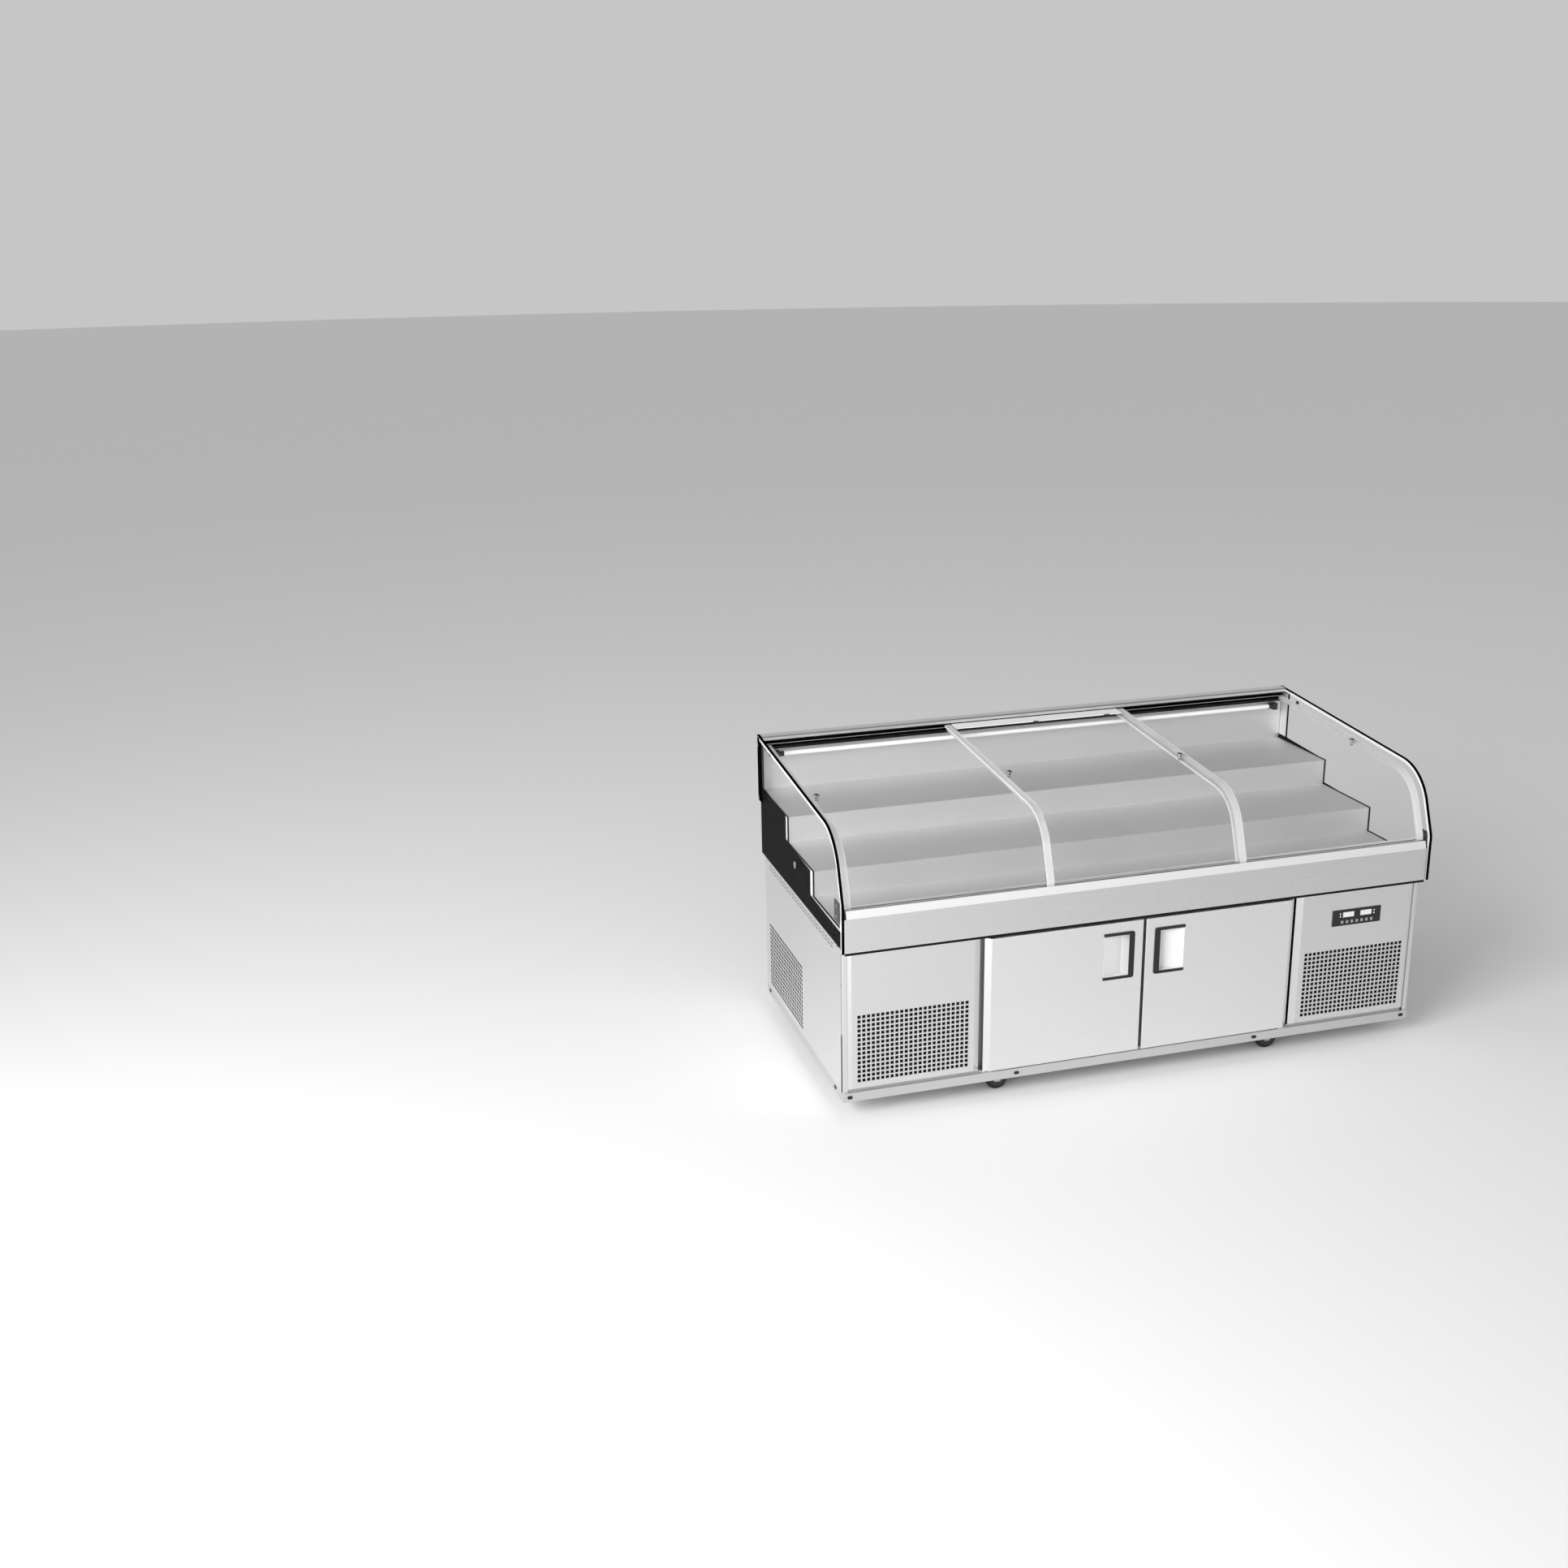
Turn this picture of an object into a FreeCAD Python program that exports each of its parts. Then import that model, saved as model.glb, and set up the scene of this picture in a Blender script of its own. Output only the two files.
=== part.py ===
"""Refrigerated display counter with a stepped bed under curved sliding glass and a cold store below.

Millimetres, +Z up, +Y to the back, +X to the right as the customer faces the fascia. The origin is on
the floor, at the middle of the overall length and depth.
"""

import FreeCAD, Part
import math
import os

# Overall size
length = 2000.0
depth = 941.0
height = 990.0
front = -depth / 2
rear = depth / 2
half = length / 2
sheet = 2.0

# Curved glass outline, seen from the side
glass_thick = 8.0
glass_foot = 565.0
glass_bend = 715.0
glass_lean = 20.0
glass_rise = 4.5
foot_radius = 60.0
crest_radius = 165.0
glass_edge = 3.0
glass_inner = half - glass_thick

# Lower cabinet
rail_low = 60.0
rail_top = 90.0
base_half = 990.0
base_front = -440.5
base_rear = 433.5
base_top = 563.0
pan_z = 94.0

# Stepped bed
tread_z = (627.0, 710.0, 797.5)
riser_y = (-141.0, 143.0)
bed_front = -418.0
bed_rear = 456.0
bed_half = 988.0
liner = 1.5
wall_top = 940.0

# Fascia and front rail
fascia_front = -466.0
fascia_top = 673.0
rail_crest = 697.0
rail_foot = 660.0
groove_width = 7.0
groove_deep = 8.0

# Sliding panes
pane_thick = 5.0
outer_inset = 16.0
inner_inset = 28.0
pane_width = 672.0
pane_reach = 983.0
pane_foot = rail_crest - groove_deep + 0.5
pane_crest = 452.0

# Doors and the cold store behind them
door_edge = 532.0
door_gap = 5.0
door_low = 100.0
door_high = 546.0
door_face = -451.5
door_back = -421.0
door_liner_back = -415.0
gasket_back = -405.5
store_front = -405.0
store_rear = 420.0
store_half = 540.0
store_wall = 45.0
store_low = 98.0
pin_x = 518.0
pin_y = -435.0
pin_radius = 4.0
fit_gap = 0.05

# Recessed door handles
pull_outer = 35.0
pull_length = 104.0
pull_low = 356.0
pull_high = 512.0
pull_bar = 18.0
pull_arm = 9.0
pull_proud = 3.0
pocket_deep = 20.0
pocket_wall = 1.5

# Perforated machine panels
panel_inner = 545.0
panel_outer = 982.0
panel_low = 97.0
panel_high = 559.0
panel_face = -441.0
panel_back = -430.0
bevel_side = 20.0
bevel_end = 6.0
panel_mid = (panel_inner + panel_outer) / 2
vent_mid_z = 235.0
vent_wide = 330.0
vent_high = 190.0

# Side panels, with their own perforated field and two rows of air slots
side_vent_y = 190.0
side_vent_z = 222.0
side_vent_wide = 370.0
side_vent_high = 190.0
slot_rows = (536.0, 547.0)
slot_front = -345.0
slot_long = 228.0
slot_step = 244.0
slot_high = 4.0

# Back panel
louvre_low = 150.0
louvre_step = 34.0
louvre_high = 9.0
louvre_reach = 150.0
inlet_x = -panel_mid - 90
inlet_z = 470.0
inlet_radius = 9.0

# Condensing unit and its fan
fan_z = 225.0
shaft_radius = 4.0

# Castors
castor_x = 480.0
castor_front = -378.0
castor_rear = 371.0
wheel_radius = 36.0
wheel_width = 24.0
trail = 18.0
axle_radius = 4.0
stem_radius = 6.0


def V(x, y, z):
    return FreeCAD.Vector(x, y, z)


def box(x0, x1, y0, y1, z0, z1):
    return Part.makeBox(x1 - x0, y1 - y0, z1 - z0, V(x0, y0, z0))


def rod(radius, start, end):
    run = V(*end) - V(*start)
    return Part.makeCylinder(radius, run.Length, V(*start), run)


def join(shapes):
    """One solid from pieces that touch or overlap."""
    return shapes[0].multiFuse(shapes[1:]).removeSplitter()


def side_profile(points, x0, x1):
    """A side view outline of (y, z) points pushed along X."""
    ring = [V(x0, y, z) for y, z in points]
    return Part.Face(Part.makePolygon(ring + ring[:1])).extrude(V(x1 - x0, 0, 0))


def front_profile(points, y0, y1):
    """A front view outline of (x, z) points pushed along Y."""
    ring = [V(x, y0, z) for x, z in points]
    return Part.Face(Part.makePolygon(ring + ring[:1])).extrude(V(0, y1 - y0, 0))


def plan_profile(points, z0, z1):
    """A plan view outline of (x, y) points pushed along Z."""
    ring = [V(x, y, z0) for x, y in points]
    return Part.Face(Part.makePolygon(ring + ring[:1])).extrude(V(0, 0, z1 - z0))


def hexagon(across, z0, z1):
    """A nut standing on the Z axis, by its width across the flats."""
    reach = across / math.sqrt(3)
    corners = [(reach * math.cos(i * math.pi / 3), reach * math.sin(i * math.pi / 3)) for i in range(6)]
    return plan_profile(corners, z0, z1)


def mirrored(shape):
    return shape.mirror(V(0, 0, 0), V(1, 0, 0))


def save(name, shape):
    os.makedirs("parts", exist_ok=True)
    shape.exportStep("parts/" + name + ".step")


def save_pair(name, left_shape):
    """Writes a left-hand piece and its mirror image; {} in the name takes the side."""
    save(name.format("left"), left_shape)
    save(name.format("right"), mirrored(left_shape))


# The glass outline: a foot line, a leaning line and a rising line, joined by two bends


def crossing(point, run, other, other_run):
    """Where two lines in the side view meet."""
    turn = run[0] * other_run[1] - run[1] * other_run[0]
    gap = (other[0] - point[0], other[1] - point[1])
    along = (gap[0] * other_run[1] - gap[1] * other_run[0]) / turn
    return (point[0] + along * run[0], point[1] + along * run[1])


def bend(before, corner, after, radius):
    """The two tangent points and the mid point of an arc that rounds a corner."""
    arms = []
    for end in (before, after):
        reach = math.hypot(end[0] - corner[0], end[1] - corner[1])
        arms.append(((end[0] - corner[0]) / reach, (end[1] - corner[1]) / reach))
    inside = math.acos(arms[0][0] * arms[1][0] + arms[0][1] * arms[1][1]) / 2
    tangent = radius / math.tan(inside)
    middle = (arms[0][0] + arms[1][0], arms[0][1] + arms[1][1])
    size = math.hypot(*middle)
    short = radius / math.sin(inside) - radius
    start = (corner[0] + tangent * arms[0][0], corner[1] + tangent * arms[0][1])
    end = (corner[0] + tangent * arms[1][0], corner[1] + tangent * arms[1][1])
    top = (corner[0] + short * middle[0] / size, corner[1] + short * middle[1] / size)
    return start, top, end


def glass_curve(inset, foot_z, crest_y, x):
    """Edges of the outline moved inwards by inset, from its foot up to its rear end."""
    lean = math.radians(glass_lean)
    rise = math.radians(glass_rise)
    lean_run = (math.sin(lean), math.cos(lean))
    rise_run = (math.cos(rise), math.sin(rise))
    lean_at = (front + inset * math.cos(lean), glass_bend - inset * math.sin(lean))
    rise_at = (rear + inset * math.sin(rise), height - inset * math.cos(rise))
    foot = (front + inset, foot_z)
    low_corner = crossing(foot, (0, 1), lean_at, lean_run)
    high_corner = crossing(lean_at, lean_run, rise_at, rise_run)
    crest = crossing(rise_at, rise_run, (crest_y, 0), (0, 1))
    low_arc = bend(foot, low_corner, high_corner, foot_radius)
    high_arc = bend(low_corner, high_corner, crest, crest_radius - inset)
    at = [V(x, y, z) for y, z in (foot, *low_arc, *high_arc, crest)]
    edges = [
        Part.makeLine(at[0], at[1]),
        Part.Arc(at[1], at[2], at[3]).toShape(),
        Part.makeLine(at[3], at[4]),
        Part.Arc(at[4], at[5], at[6]).toShape(),
        Part.makeLine(at[6], at[7]),
    ]
    return edges, at[0], at[7]


def curved_sheet(inset, thick, foot_z, crest_y, x0, x1):
    """A sheet bent to the glass outline, from x0 to x1."""
    outer, outer_foot, outer_crest = glass_curve(inset, foot_z, crest_y, x0)
    inner, inner_foot, inner_crest = glass_curve(inset + thick, foot_z, crest_y, x0)
    ends = [Part.makeLine(outer_foot, inner_foot), Part.makeLine(outer_crest, inner_crest)]
    wire = Part.Wire(Part.__sortEdges__(outer + inner + ends))
    return Part.Face(wire).extrude(V(x1 - x0, 0, 0))


def side_glass():
    """The flat end pane, with room left for its dark edge band."""
    edges, foot, crest = glass_curve(glass_edge, glass_foot, rear, -half)
    low_back = V(-half, rear, glass_foot)
    closing = [Part.makeLine(foot, low_back), Part.makeLine(low_back, crest)]
    wire = Part.Wire(Part.__sortEdges__(edges + closing))
    return Part.Face(wire).extrude(V(glass_thick, 0, 0))


def side_mask():
    """The dark plate that hides the stepped bed's end, and the dark band round the glass edge."""
    thick = 1.0
    back_step = 24.0
    drop = 6.0
    outline = [
        (front + 12, glass_foot + 2),
        (rear - 2, glass_foot + 2),
        (rear - 2, height - 8),
        (rear - 14, height - 9),
        (rear - 14, tread_z[2] + 14),
        (bed_rear - 24, tread_z[2] + 14),
        (riser_y[1] + back_step, tread_z[2]),
        (riser_y[1] + back_step, tread_z[1] + drop),
        (riser_y[0] + back_step + 8, tread_z[1] - drop),
        (riser_y[0] + back_step + 8, tread_z[0] - drop + 1),
        (bed_front + 24, tread_z[0] - drop - 3),
        (front + 12, tread_z[0] - drop - 3),
    ]
    plate = side_profile(outline, -glass_inner + 0.2, -glass_inner + 0.2 + thick)
    band = curved_sheet(0, glass_edge, glass_foot, rear, -half, -glass_inner)
    return Part.makeCompound([plate, band])


def glass_bolts():
    """Round cover caps on the outside of both end glasses, by their (y, z, radius)."""
    thick = 4.0
    places = ((15.0, 679.0, 12.0), (452.0, 960.0, 8.0), (452.0, 773.0, 8.0))
    caps = [rod(radius, (-half, y, z), (-half - thick, y, z)) for y, z, radius in places]
    return Part.makeCompound(caps + [mirrored(c) for c in caps])


# The stepped bed and what surrounds it


def bed_steps(lower):
    """Top line of the bed from front to back, lowered by the given amount."""
    return [
        (bed_front + lower, tread_z[0] - lower),
        (riser_y[0] + lower, tread_z[0] - lower),
        (riser_y[0] + lower, tread_z[1] - lower),
        (riser_y[1] + lower, tread_z[1] - lower),
        (riser_y[1] + lower, tread_z[2] - lower),
        (bed_rear + lower, tread_z[2] - lower),
    ]


def step_liner():
    """One folded sheet: front upstand, three treads, two risers and the back wall."""
    top = bed_steps(0)
    under = bed_steps(liner)
    under[0] = (bed_front - liner, tread_z[0] - liner)
    outline = [(bed_front, rail_foot - 0.5)] + top + [(bed_rear, wall_top), (bed_rear + liner, wall_top)]
    outline += under[::-1] + [(bed_front - liner, rail_foot - 0.5)]
    return side_profile(outline, -bed_half - 2, bed_half + 2)


def tub_body():
    """The foamed body under the liner, with its front wall."""
    under = bed_steps(liner)
    under[0] = (bed_front - liner, tread_z[0] - liner)
    foot = glass_foot + 2
    outline = [(fascia_front + sheet, foot), (fascia_front + sheet, rail_foot - 0.5)]
    outline += [(bed_front - liner, rail_foot - 0.5)] + under + [(bed_rear + liner, foot)]
    return side_profile(outline, -bed_half, bed_half)


def front_fascia():
    """The plain front sheet with a return folded back along its foot."""
    outline = [
        (fascia_front, glass_foot),
        (fascia_front + 24, glass_foot),
        (fascia_front + 24, glass_foot + sheet),
        (fascia_front + sheet, glass_foot + sheet),
        (fascia_front + sheet, fascia_top),
        (fascia_front, fascia_top),
    ]
    return side_profile(outline, -glass_inner + 0.5, glass_inner - 0.5)


def fascia_seal():
    """The dark strip that closes the gap under the fascia and shows as a line along its foot."""
    return box(-bed_half, bed_half, fascia_front + 0.5, panel_face - 1.5, panel_high - 2, glass_foot)


def front_rail():
    """The rail on top of the fascia, with two grooves that the panes run in."""
    body = side_profile(
        [
            (fascia_front, fascia_top),
            (fascia_front + 7, rail_crest),
            (bed_front, rail_crest),
            (bed_front, rail_foot),
            (fascia_front + sheet, rail_foot),
            (fascia_front + sheet, fascia_top),
        ],
        -bed_half + 4,
        bed_half - 4,
    )
    for inset in (outer_inset, inner_inset):
        middle = front + inset + pane_thick / 2
        low = rail_crest - groove_deep
        groove = box(-half, half, middle - groove_width / 2, middle + groove_width / 2, low, rail_crest + 1)
        body = body.cut(groove)
    return body


def front_rail_ends():
    """The clamps that hold the front rail's ends to the side glasses."""
    outline = [
        (fascia_front + 6, rail_crest - 4),
        (bed_front + 2, rail_crest - 4),
        (bed_front + 2, rail_foot),
        (fascia_front + 6, rail_foot),
    ]
    end = side_profile(outline, -bed_half + 0.2, -bed_half + 3.8)
    return Part.makeCompound([end, mirrored(end)])


def rear_top_rail():
    """The folded cap along the top of the back."""
    lip_y = 432.0
    lip_low = height - 13
    outline = [
        (lip_y + 4, height),
        (rear, height),
        (rear, height - 40),
        (rear - sheet, height - 40),
        (rear - sheet, height - sheet),
        (lip_y + 5, height - sheet),
        (lip_y + sheet, height - 5),
        (lip_y + sheet, lip_low),
        (lip_y, lip_low),
        (lip_y, height - 4),
    ]
    return side_profile(outline, -glass_inner + 0.5, glass_inner - 0.5)


def upper_track():
    """The dark double channel that guides the panes' upper edges."""
    body = box(-bed_half, bed_half, 435, 464, wall_top + 1, height - 14)
    for inset in (outer_inset, inner_inset):
        slot = curved_sheet(inset - 1.5, pane_thick + 3, pane_foot, pane_crest + 4, -half, half)
        body = body.cut(slot)
    return body


def rear_wall():
    """The back of the upper case, a closed pan behind the bed's back wall."""
    reach = glass_inner - 1.5
    pan = box(-reach, reach, bed_rear + liner, rear - sheet, glass_foot + 2, wall_top)
    cap_strip = box(-reach, reach, 464.2, rear - sheet, wall_top, height - sheet)
    return join([pan, cap_strip])


def pane(x0, inset):
    return curved_sheet(inset, pane_thick, pane_foot, pane_crest, x0, x0 + pane_width)


def pane_knob(x, inset):
    """A small turned pull, standing square on the glass and held by a nut below it."""
    rise = math.radians(glass_rise)
    at_y = -60.0
    reach = rear - at_y
    top = V(x, at_y, height - reach * math.tan(rise) - inset / math.cos(rise))
    up = V(0, -math.sin(rise), math.cos(rise))
    sketch = [(0, 0), (5, 0), (5, 8), (9.5, 10), (9.5, 14), (0, 14)]
    ring = [V(r, 0, h) for r, h in sketch]
    turned = Part.Face(Part.makePolygon(ring + ring[:1])).revolve(V(0, 0, 0), V(0, 0, 1), 360)
    nut = hexagon(11.0, -pane_thick - 3, -pane_thick)
    knob = Part.makeCompound([turned, nut])
    knob.rotate(V(0, 0, 0), V(1, 0, 0), glass_rise)
    knob.translate(top)
    return knob


def lamp():
    return rod(7.5, (-938, 426, 928), (938, 426, 928))


def lamp_holders():
    holder = box(-952, -936, 415, 437, 916, wall_top)
    clip = holder.cut(rod(7.5, (-938, 426, 928), (0, 426, 928)))
    back = box(-950, -938, 437, bed_rear, 924, 934)
    arm = join([clip, back])
    return Part.makeCompound([arm, mirrored(arm)])


# The lower cabinet


def ring(x, y0, y1, z0, z1, wall):
    outer = box(-x, x, y0, y1, z0, z1)
    return outer.cut(box(-x + wall, x - wall, y0 + wall, y1 - wall, z0 - 1, z1 + 1))


def base_frame():
    """The folded bottom rail, its flanges, and the floor pan that carries the machinery."""
    wall = ring(base_half, base_front, base_rear, rail_low, rail_top, sheet)
    lip = ring(base_half, base_front, base_rear, rail_low, rail_low + sheet, 8)
    flange = ring(base_half, base_front, base_rear, rail_top - sheet, rail_top, 18)
    skirt = ring(base_half - 6, base_front + 12, base_rear - 6, rail_top, pan_z, sheet)
    pan = box(-base_half + 6, base_half - 6, base_front + 12, base_rear - 6, pan_z, pan_z + sheet)
    return join([wall, lip, flange, skirt, pan])


def square_holes(columns, rows, wide, high, share, middle, across):
    """A grid of square holes; across puts each hole where the panel needs it."""
    pitch_a = wide / (columns - 1)
    pitch_b = high / (rows - 1)
    side = share * min(pitch_a, pitch_b)
    holes = []
    for i in range(columns):
        for k in range(rows):
            a = middle[0] - wide / 2 + i * pitch_a
            b = middle[1] - high / 2 + k * pitch_b
            holes.append(across(a - side / 2, a + side / 2, b - side / 2, b + side / 2))
    return Part.makeCompound(holes)


def side_panel():
    """The left end sheet with its air slots and perforated field, and the corner post in front of it."""
    post_front = base_front + 4
    skin = box(-base_half, -base_half + sheet, post_front + sheet, base_rear - sheet, rail_top, base_top)
    post = box(-base_half, -panel_outer + 8, post_front, post_front + sheet, rail_top, base_top)

    def through(y0, y1, z0, z1):
        return box(-base_half - 1, -base_half + sheet + 1, y0, y1, z0, z1)

    middle = (side_vent_y, side_vent_z)
    field = square_holes(6, 4, side_vent_wide, side_vent_high, 0.6, middle, through)
    slots = []
    for z in slot_rows:
        for i in range(3):
            y = slot_front + i * slot_step
            slots.append(through(y, y + slot_long, z, z + slot_high))
    return Part.makeCompound([skin.cut(field).cut(Part.makeCompound(slots)), post])


def rear_panel():
    """The back sheet of the lower cabinet, with louvred air slots at both machine bays."""
    panel = box(-base_half, base_half, base_rear - sheet, base_rear, rail_top, base_top)
    slots = []
    for middle in (-panel_mid, panel_mid):
        x0 = middle - louvre_reach
        x1 = middle + louvre_reach
        for i in range(8):
            z = louvre_low + i * louvre_step
            slots.append(box(x0, x1, base_rear - 3, base_rear + 1, z, z + louvre_high))
    inlet = rod(inlet_radius, (inlet_x, base_rear - 3, inlet_z), (inlet_x, base_rear + 1, inlet_z))
    return panel.cut(Part.makeCompound(slots)).cut(inlet)


def frustum(x0, x1, z0, z1, y_back, y_face, side, end):
    """A panel block whose edges slope from the back outline in to a smaller face."""
    rings = []
    for y, a, b in ((y_back, 0, 0), (y_face, side, end)):
        corners = [(x0 + a, z0 + b), (x1 - a, z0 + b), (x1 - a, z1 - b), (x0 + a, z1 - b)]
        at = [V(x, y, z) for x, z in corners]
        rings.append(Part.makePolygon(at + at[:1]))
    return Part.makeLoft(rings, True, True)


def grille_panel():
    """The left machine panel: a shallow pan with sloped edges and a perforated field."""
    x0 = -panel_outer
    x1 = -panel_inner
    body = frustum(x0, x1, panel_low, panel_high, panel_back, panel_face, bevel_side, bevel_end)
    fold = 3
    core = frustum(
        x0 + fold,
        x1 - fold,
        panel_low + fold,
        panel_high - fold,
        panel_back + 0.01,
        panel_face + sheet,
        bevel_side,
        bevel_end,
    )

    def through(a0, a1, z0, z1):
        return box(a0, a1, panel_face - 1, panel_face + sheet + 1, z0, z1)

    field = square_holes(8, 5, vent_wide, vent_high, 0.6, (-panel_mid, vent_mid_z), through)
    return body.cut(core).cut(field)


def controller_cutout():
    return box(panel_mid - 84, panel_mid + 84, panel_face - 5, panel_back + 1, 433, 481)


def controller():
    """The controller's case and bezel, its two lit windows, and its row of membrane keys."""
    case = box(panel_mid - 83, panel_mid + 83, panel_face, panel_face + 58, 434, 480)
    bezel = box(panel_mid - 88, panel_mid + 88, panel_face - 4, panel_face, 430, 484)
    bezel = bezel.makeFillet(1.5, [e for e in bezel.Edges if e.CenterOfMass.y < panel_face - 3.9])
    body = join([case, bezel])
    windows = []
    for x in (-32, 32):
        hole = (panel_mid + x - 21, panel_mid + x + 21, panel_face - 5, panel_face - 2.6, 459, 477)
        body = body.cut(box(*hole))
        windows.append(box(hole[0] + 0.1, hole[1] - 0.1, panel_face - 3.6, panel_face - 2.6, 459.1, 476.9))
    keys = []
    for i in range(7):
        x = panel_mid - 54 + i * 18
        keys.append(box(x - 4, x + 4, panel_face - 4.9, panel_face - 4, 439, 447))
    return body, Part.makeCompound(windows + keys)


def storage_box():
    """The foamed cold store: five walls round a hollow that is open at the front."""
    outer = box(-store_half, store_half, store_front, store_rear, store_low, base_top - 1)
    hollow = box(
        -store_half + store_wall,
        store_half - store_wall,
        store_front - 1,
        store_rear - 40,
        store_low + store_wall,
        base_top - 43,
    )
    return outer.cut(hollow)


def door_mullion():
    return box(-22, 22, store_front, store_front + 30, store_low + store_wall, base_top - 43)


def wire_shelf():
    """A welded wire shelf on two long bearers."""
    z = 330.0
    x_end = store_half - store_wall - 4
    y0 = store_front + 60
    y1 = store_rear - 50
    wires = []
    for y in (y0 + 20, y1 - 20):
        wires.append(box(-x_end, x_end, y - 3, y + 3, z, z + 6))
    count = 11
    for i in range(count):
        x = -x_end + 14 + i * (2 * x_end - 28) / (count - 1)
        wires.append(box(x - 2.5, x + 2.5, y0, y1, z + 4, z + 9))
    return join(wires)


# Doors


def pocket_wedge(grow):
    """The handle recess: deepest under the upright bar, running out to the door face."""
    x_deep = -pull_outer - 5
    x_open = -pull_outer - pull_length + 2
    outline = [
        (x_deep + grow, door_face - 2 * (grow > 0)),
        (x_deep + grow, door_face + pocket_deep + grow),
        (x_deep - 30, door_face + pocket_deep + grow),
        (x_open - grow, door_face + 1 + grow),
        (x_open - grow, door_face - 2 * (grow > 0)),
    ]
    return plan_profile(outline, pull_low + pull_arm - grow, pull_high - pull_arm + grow)


def door_shell():
    """The left door's foamed outer shell, with a sloped hinge edge and a cut for the handle."""
    block = plan_profile(
        [
            (-door_edge, door_back),
            (-door_edge, door_face + 15),
            (-door_edge + 18, door_face),
            (-door_gap - 1.5, door_face),
            (-door_gap, door_face + 1.5),
            (-door_gap, door_back),
        ],
        door_low,
        door_high,
    )
    block = block.cut(pocket_wedge(pocket_wall))
    for z0, z1 in ((door_low - 1, door_low + 21), (door_high - 21, door_high + 1)):
        block = block.cut(rod(pin_radius + fit_gap, (-pin_x, pin_y, z0), (-pin_x, pin_y, z1)))
    return block


def door_pocket():
    """The thin cup that lines the handle recess."""
    cup = pocket_wedge(pocket_wall).cut(pocket_wedge(0))
    mouth = box(-pull_outer - pull_length - 9, -pull_outer + 9, door_face - 9, door_face, pull_low, pull_high)
    return cup.cut(mouth)


def door_handle():
    """The dark C-shaped pull: an upright bar over the recess and an arm along its top and foot."""
    x1 = -pull_outer
    x0 = x1 - pull_length
    outline = [
        (x0, pull_low),
        (x1, pull_low),
        (x1, pull_high),
        (x0, pull_high),
        (x0, pull_high - pull_arm),
        (x1 - pull_bar, pull_high - pull_arm),
        (x1 - pull_bar, pull_low + pull_arm),
        (x0, pull_low + pull_arm),
    ]
    bar = front_profile(outline, door_face - pull_proud, door_face)
    corners = [e for e in bar.Edges if abs(e.CenterOfMass.x - x1) < 0.1 and e.Length < 4]
    bar = bar.makeFillet(7, corners)
    return bar


def door_liner():
    """The inner tray, with a raised middle that fits inside the gasket."""
    plate = box(-door_edge + 6, -door_gap - 6, door_back, door_liner_back, door_low + 6, door_high - 6)
    plug = frustum(-478, -52, door_low + 68, door_high - 52, door_liner_back, gasket_back + 2, 6, 6)
    plate = join([plate, plug])
    for z0, z1 in ((door_low, door_low + 21), (door_high - 21, door_high)):
        plate = plate.cut(rod(pin_radius + 3, (-pin_x, pin_y, z0), (-pin_x, pin_y, z1)))
    return plate


def door_gasket():
    outer = box(-512, -20, door_liner_back, gasket_back, door_low + 26, door_high - 20)
    return outer.cut(box(-494, -38, door_liner_back - 1, gasket_back + 1, door_low + 44, door_high - 38))


def door_hinges():
    """Foot and head brackets for both doors, each with its pin."""
    pieces = []
    foot = join(
        [
            box(-533, -503, -445, -409, pan_z + sheet, 98.5),
            box(-533, -503, -440, -429, rail_top, pan_z + sheet),
            rod(pin_radius, (-pin_x, pin_y, 98), (-pin_x, pin_y, door_low + 18)),
        ]
    )
    head = join(
        [
            box(-533, -503, -445, store_front, 550, 554),
            box(-533, -503, store_front - 4, store_front, 550, base_top - 1),
            rod(pin_radius, (-pin_x, pin_y, door_high - 18), (-pin_x, pin_y, 552)),
        ]
    )
    for piece in (foot, head):
        pieces.append(piece)
        pieces.append(mirrored(piece))
    return Part.makeCompound(pieces)


# Machinery behind the perforated panels


def condensing_unit():
    """Compressor can, finned condenser and fan cowl on one tray, in the left bay."""
    mid = -panel_mid
    low = pan_z + sheet
    tray = box(mid - 175, mid + 175, -400, 210, low, low + 3)
    profile = [(0, 0), (72, 0), (72, 150), (50, 170), (0, 170)]
    points = [V(r, 0, h) for r, h in profile]
    can = Part.Face(Part.makePolygon(points + points[:1])).revolve(V(0, 0, 0), V(0, 0, 1), 360)
    can.translate(V(mid - 40, 90, low + 15))
    feet = []
    for x in (mid - 85, mid + 5):
        feet.append(box(x - 10, x + 10, 50, 130, low + 3, low + 18))
    core = box(mid - 150, mid + 150, -395, -335, low + 3, low + 253)
    cowl = box(mid - 145, mid + 145, -335, -300, low + 3, low + 253)
    cowl = cowl.cut(rod(106, (mid, -336, fan_z), (mid, -299, fan_z)))
    bar = box(mid - 8, mid + 8, -300, -290, low + 3, low + 253)
    motor = box(mid - 32, mid + 32, -290, -240, fan_z - 32, fan_z + 32)
    shaft = rod(shaft_radius, (mid, -318, fan_z), (mid, -290, fan_z))
    return join([tray, can, core, cowl, bar, motor, shaft] + feet)


def fan():
    """A four-blade fan on the condenser motor's shaft, in the left bay."""
    mid = -panel_mid
    hub = rod(26, (0, -326, 0), (0, -302, 0))
    blades = []
    for i in range(4):
        blade = box(20, 100, -1.5, 1.5, -30, 30)
        blade.rotate(V(0, 0, 0), V(1, 0, 0), 24)
        blade.translate(V(0, -314, 0))
        blade.rotate(V(0, 0, 0), V(0, 1, 0), i * 90)
        blades.append(blade)
    whole = join([hub] + blades)
    whole = whole.cut(rod(shaft_radius + fit_gap, (0, -319, 0), (0, -300, 0)))
    whole.translate(V(mid, 0, fan_z))
    return whole


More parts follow.
